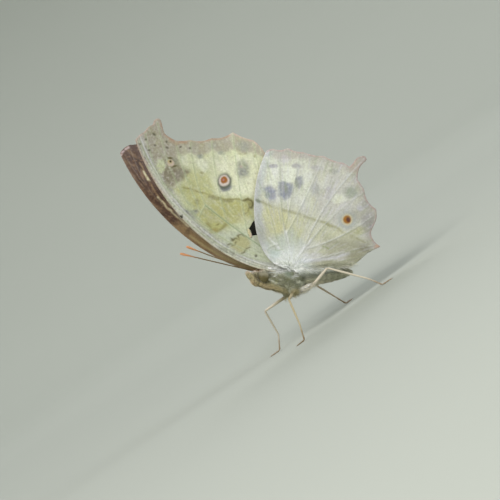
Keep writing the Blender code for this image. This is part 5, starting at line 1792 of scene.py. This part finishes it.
def add_stage():
    """A pale bowl: a flat floor that rises all round into a wall."""
    flat = STAGE_REACH - STAGE_ROUNDING
    profile = [(1.0, 0.0), (100.0, 0.0), (flat, 0.0)]
    for angle in np.linspace(0.0, math.pi / 2, 14)[1:]:
        profile.append((flat + STAGE_ROUNDING * math.sin(angle),
                        STAGE_ROUNDING - STAGE_ROUNDING * math.cos(angle)))
    profile.append((STAGE_REACH, STAGE_HEIGHT))
    sides = 96
    around = turns(sides)
    rings = [np.stack((distance * np.cos(around), distance * np.sin(around), np.full(sides, level)), 1)
             for distance, level in profile]
    quads = ring_quads(len(profile), sides)[:, TURNED_OVER]
    mesh = make_mesh("stage", np.concatenate(rings), [quads, [tuple(range(sides))]])
    nodes = Nodes("stage_paper", 0.9, 0.1)
    pale = srgb(*STAGE_LEVELS)
    coordinates = nodes.add("ShaderNodeTexCoord").outputs["Object"]
    mix_node = nodes.add("ShaderNodeMix", data_type="RGBA")
    mix_node.inputs["A"].default_value = (*pale, 1.0)
    mix_node.inputs["B"].default_value = (*(pale * 0.94), 1.0)
    nodes.join(nodes.noise(coordinates, 6.0, 2.0), mix_node.inputs["Factor"])
    nodes.join(mix_node.outputs["Result"], nodes.shader.inputs["Base Color"])
    mesh.materials.append(nodes.material)
    stage = bpy.data.objects.new("stage", mesh)
    bpy.context.scene.collection.objects.link(stage)


def add_lights():
    """Soft studio light from above the camera's left, with weaker light all round."""
    for name, place, size, power, colour in LIGHTS:
        data = bpy.data.lights.new(name, "AREA")
        data.size = size * MM
        data.energy = power
        data.color = colour
        light = bpy.data.objects.new(name, data)
        light.location = Vector(place) * MM
        light.rotation_mode = "QUATERNION"
        light.rotation_quaternion = (Vector(LIGHTS_AIM) - Vector(place)).to_track_quat("-Z", "Y")
        bpy.context.scene.collection.objects.link(light)
    world = bpy.data.worlds.new("soft_room")
    bpy.context.scene.world = world
    world.use_nodes = True
    background = world.node_tree.nodes["Background"]
    background.inputs["Color"].default_value = (0.95, 0.98, 1.0, 1.0)
    background.inputs["Strength"].default_value = 0.55


def add_camera():
    """The photograph's view."""
    cos_rise, sin_rise = math.cos(CAMERA_RISE), math.sin(CAMERA_RISE)
    back = Vector((math.sin(CAMERA_TURN) * cos_rise, -math.cos(CAMERA_TURN) * cos_rise, sin_rise))
    level = Vector((math.cos(CAMERA_TURN), math.sin(CAMERA_TURN), 0.0))
    upright = back.cross(level)
    right = level * math.cos(CAMERA_ROLL) - upright * math.sin(CAMERA_ROLL)
    up = level * math.sin(CAMERA_ROLL) + upright * math.cos(CAMERA_ROLL)
    shift = ORIGIN - np.array(BODY_ORIGIN_PLACED)
    aim = level * CAMERA_AIM[0] + upright * CAMERA_AIM[1] + Vector((shift[0], 0.0, 0.0))
    distance = FIELD_WIDTH * CAMERA_LENS / CAMERA_SENSOR
    data = bpy.data.cameras.new("photo_camera")
    data.lens = CAMERA_LENS
    data.sensor_width = CAMERA_SENSOR
    data.clip_start = 0.05
    data.clip_end = 10.0
    camera = bpy.data.objects.new("photo_camera", data)
    axes = Matrix((right, up, back)).transposed().to_4x4()
    camera.matrix_world = Matrix.Translation((aim + back * distance) * MM) @ axes
    bpy.context.scene.collection.objects.link(camera)
    bpy.context.scene.camera = camera


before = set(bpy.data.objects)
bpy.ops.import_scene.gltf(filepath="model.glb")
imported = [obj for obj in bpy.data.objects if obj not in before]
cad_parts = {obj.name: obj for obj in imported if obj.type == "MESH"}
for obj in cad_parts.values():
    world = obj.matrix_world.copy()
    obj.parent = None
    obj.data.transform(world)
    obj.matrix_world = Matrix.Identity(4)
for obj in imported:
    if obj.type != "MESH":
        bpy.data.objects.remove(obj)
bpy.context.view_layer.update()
ORIGIN = find_origin()
# Blender's noise vectors and numpy's draws are both seeded, so that each run gives the same result.
noise.seed_set(SEED)
rng = np.random.default_rng(SEED)

under = wing_material("wing_underside", False)
upper = wing_material("wing_upper_side", True)
hair = coloured_material("body_hair", 0.62, 0.85, 1.15, 3.0, 0.02, 0.25)
root_hair = coloured_material("wing_root_hair", 0.62, 1.0, 1.4, 3.0, 0.02, 0.3)
skin_finish = coloured_material("body_skin", 0.7, 0.8, 1.15, 4.0, 0.04, 0.2)
fringe_finish = coloured_material("wing_fringe", 0.6, 0.9, 1.1, 3.0, 0.01, 0.1)
leg_finish = coloured_material("leg_scales", 0.45, 0.8, 1.15, 7.0, 0.02, 0.15)
antenna_finish = coloured_material("antenna_scales", 0.4, 0.85, 1.15, 8.0, 0.02)
eye_finish = eye_material()

body = add_body(skin_finish)
add_body_coat(body, hair, rng)
for letter, side in (("L", -1), ("R", 1)):
    near = letter == "L"
    margin = FOREWING_MARGIN if near else worn_tip(FOREWING_MARGIN)
    forewing = Wing("forewing_" + letter, side, FOREWING_ROOT + FOREWING_RISE,
                    (FOREWING_COSTA, margin, FOREWING_BASE, FOREWING_VEINS),
                    np.array(TEAR) if near else None, 1.0 + side)
    hindwing = Wing("hindwing_" + letter, side, HINDWING_ROOT + HINDWING_RISE,
                    (HINDWING_FRONT, HINDWING_MARGIN, HINDWING_BASE, HINDWING_VEINS), None, 4.0 + side)
    upper_side = paint_forewing_upper if near else paint_far_forewing_upper
    add_wing(forewing, (paint_forewing_under, upper_side), (under, upper))
    add_wing(hindwing, (paint_hindwing_under, paint_hindwing_upper), (under, upper))
    add_fringe(forewing, paint_forewing_under, fringe_finish, rng)
    add_fringe(hindwing, paint_hindwing_under, fringe_finish, rng)
    add_wing_hair(hindwing, forewing, letter, root_hair, rng)
    if near:
        add_scrap(forewing, under)
    add_eye(letter, eye_finish)
    add_antenna(letter, side, antenna_finish)
    for pair in ("midleg_", "hindleg_"):
        add_leg(pair + letter, leg_finish, rng)

add_stage()
add_lights()
add_camera()
bpy.context.scene.view_settings.view_transform = "Standard"
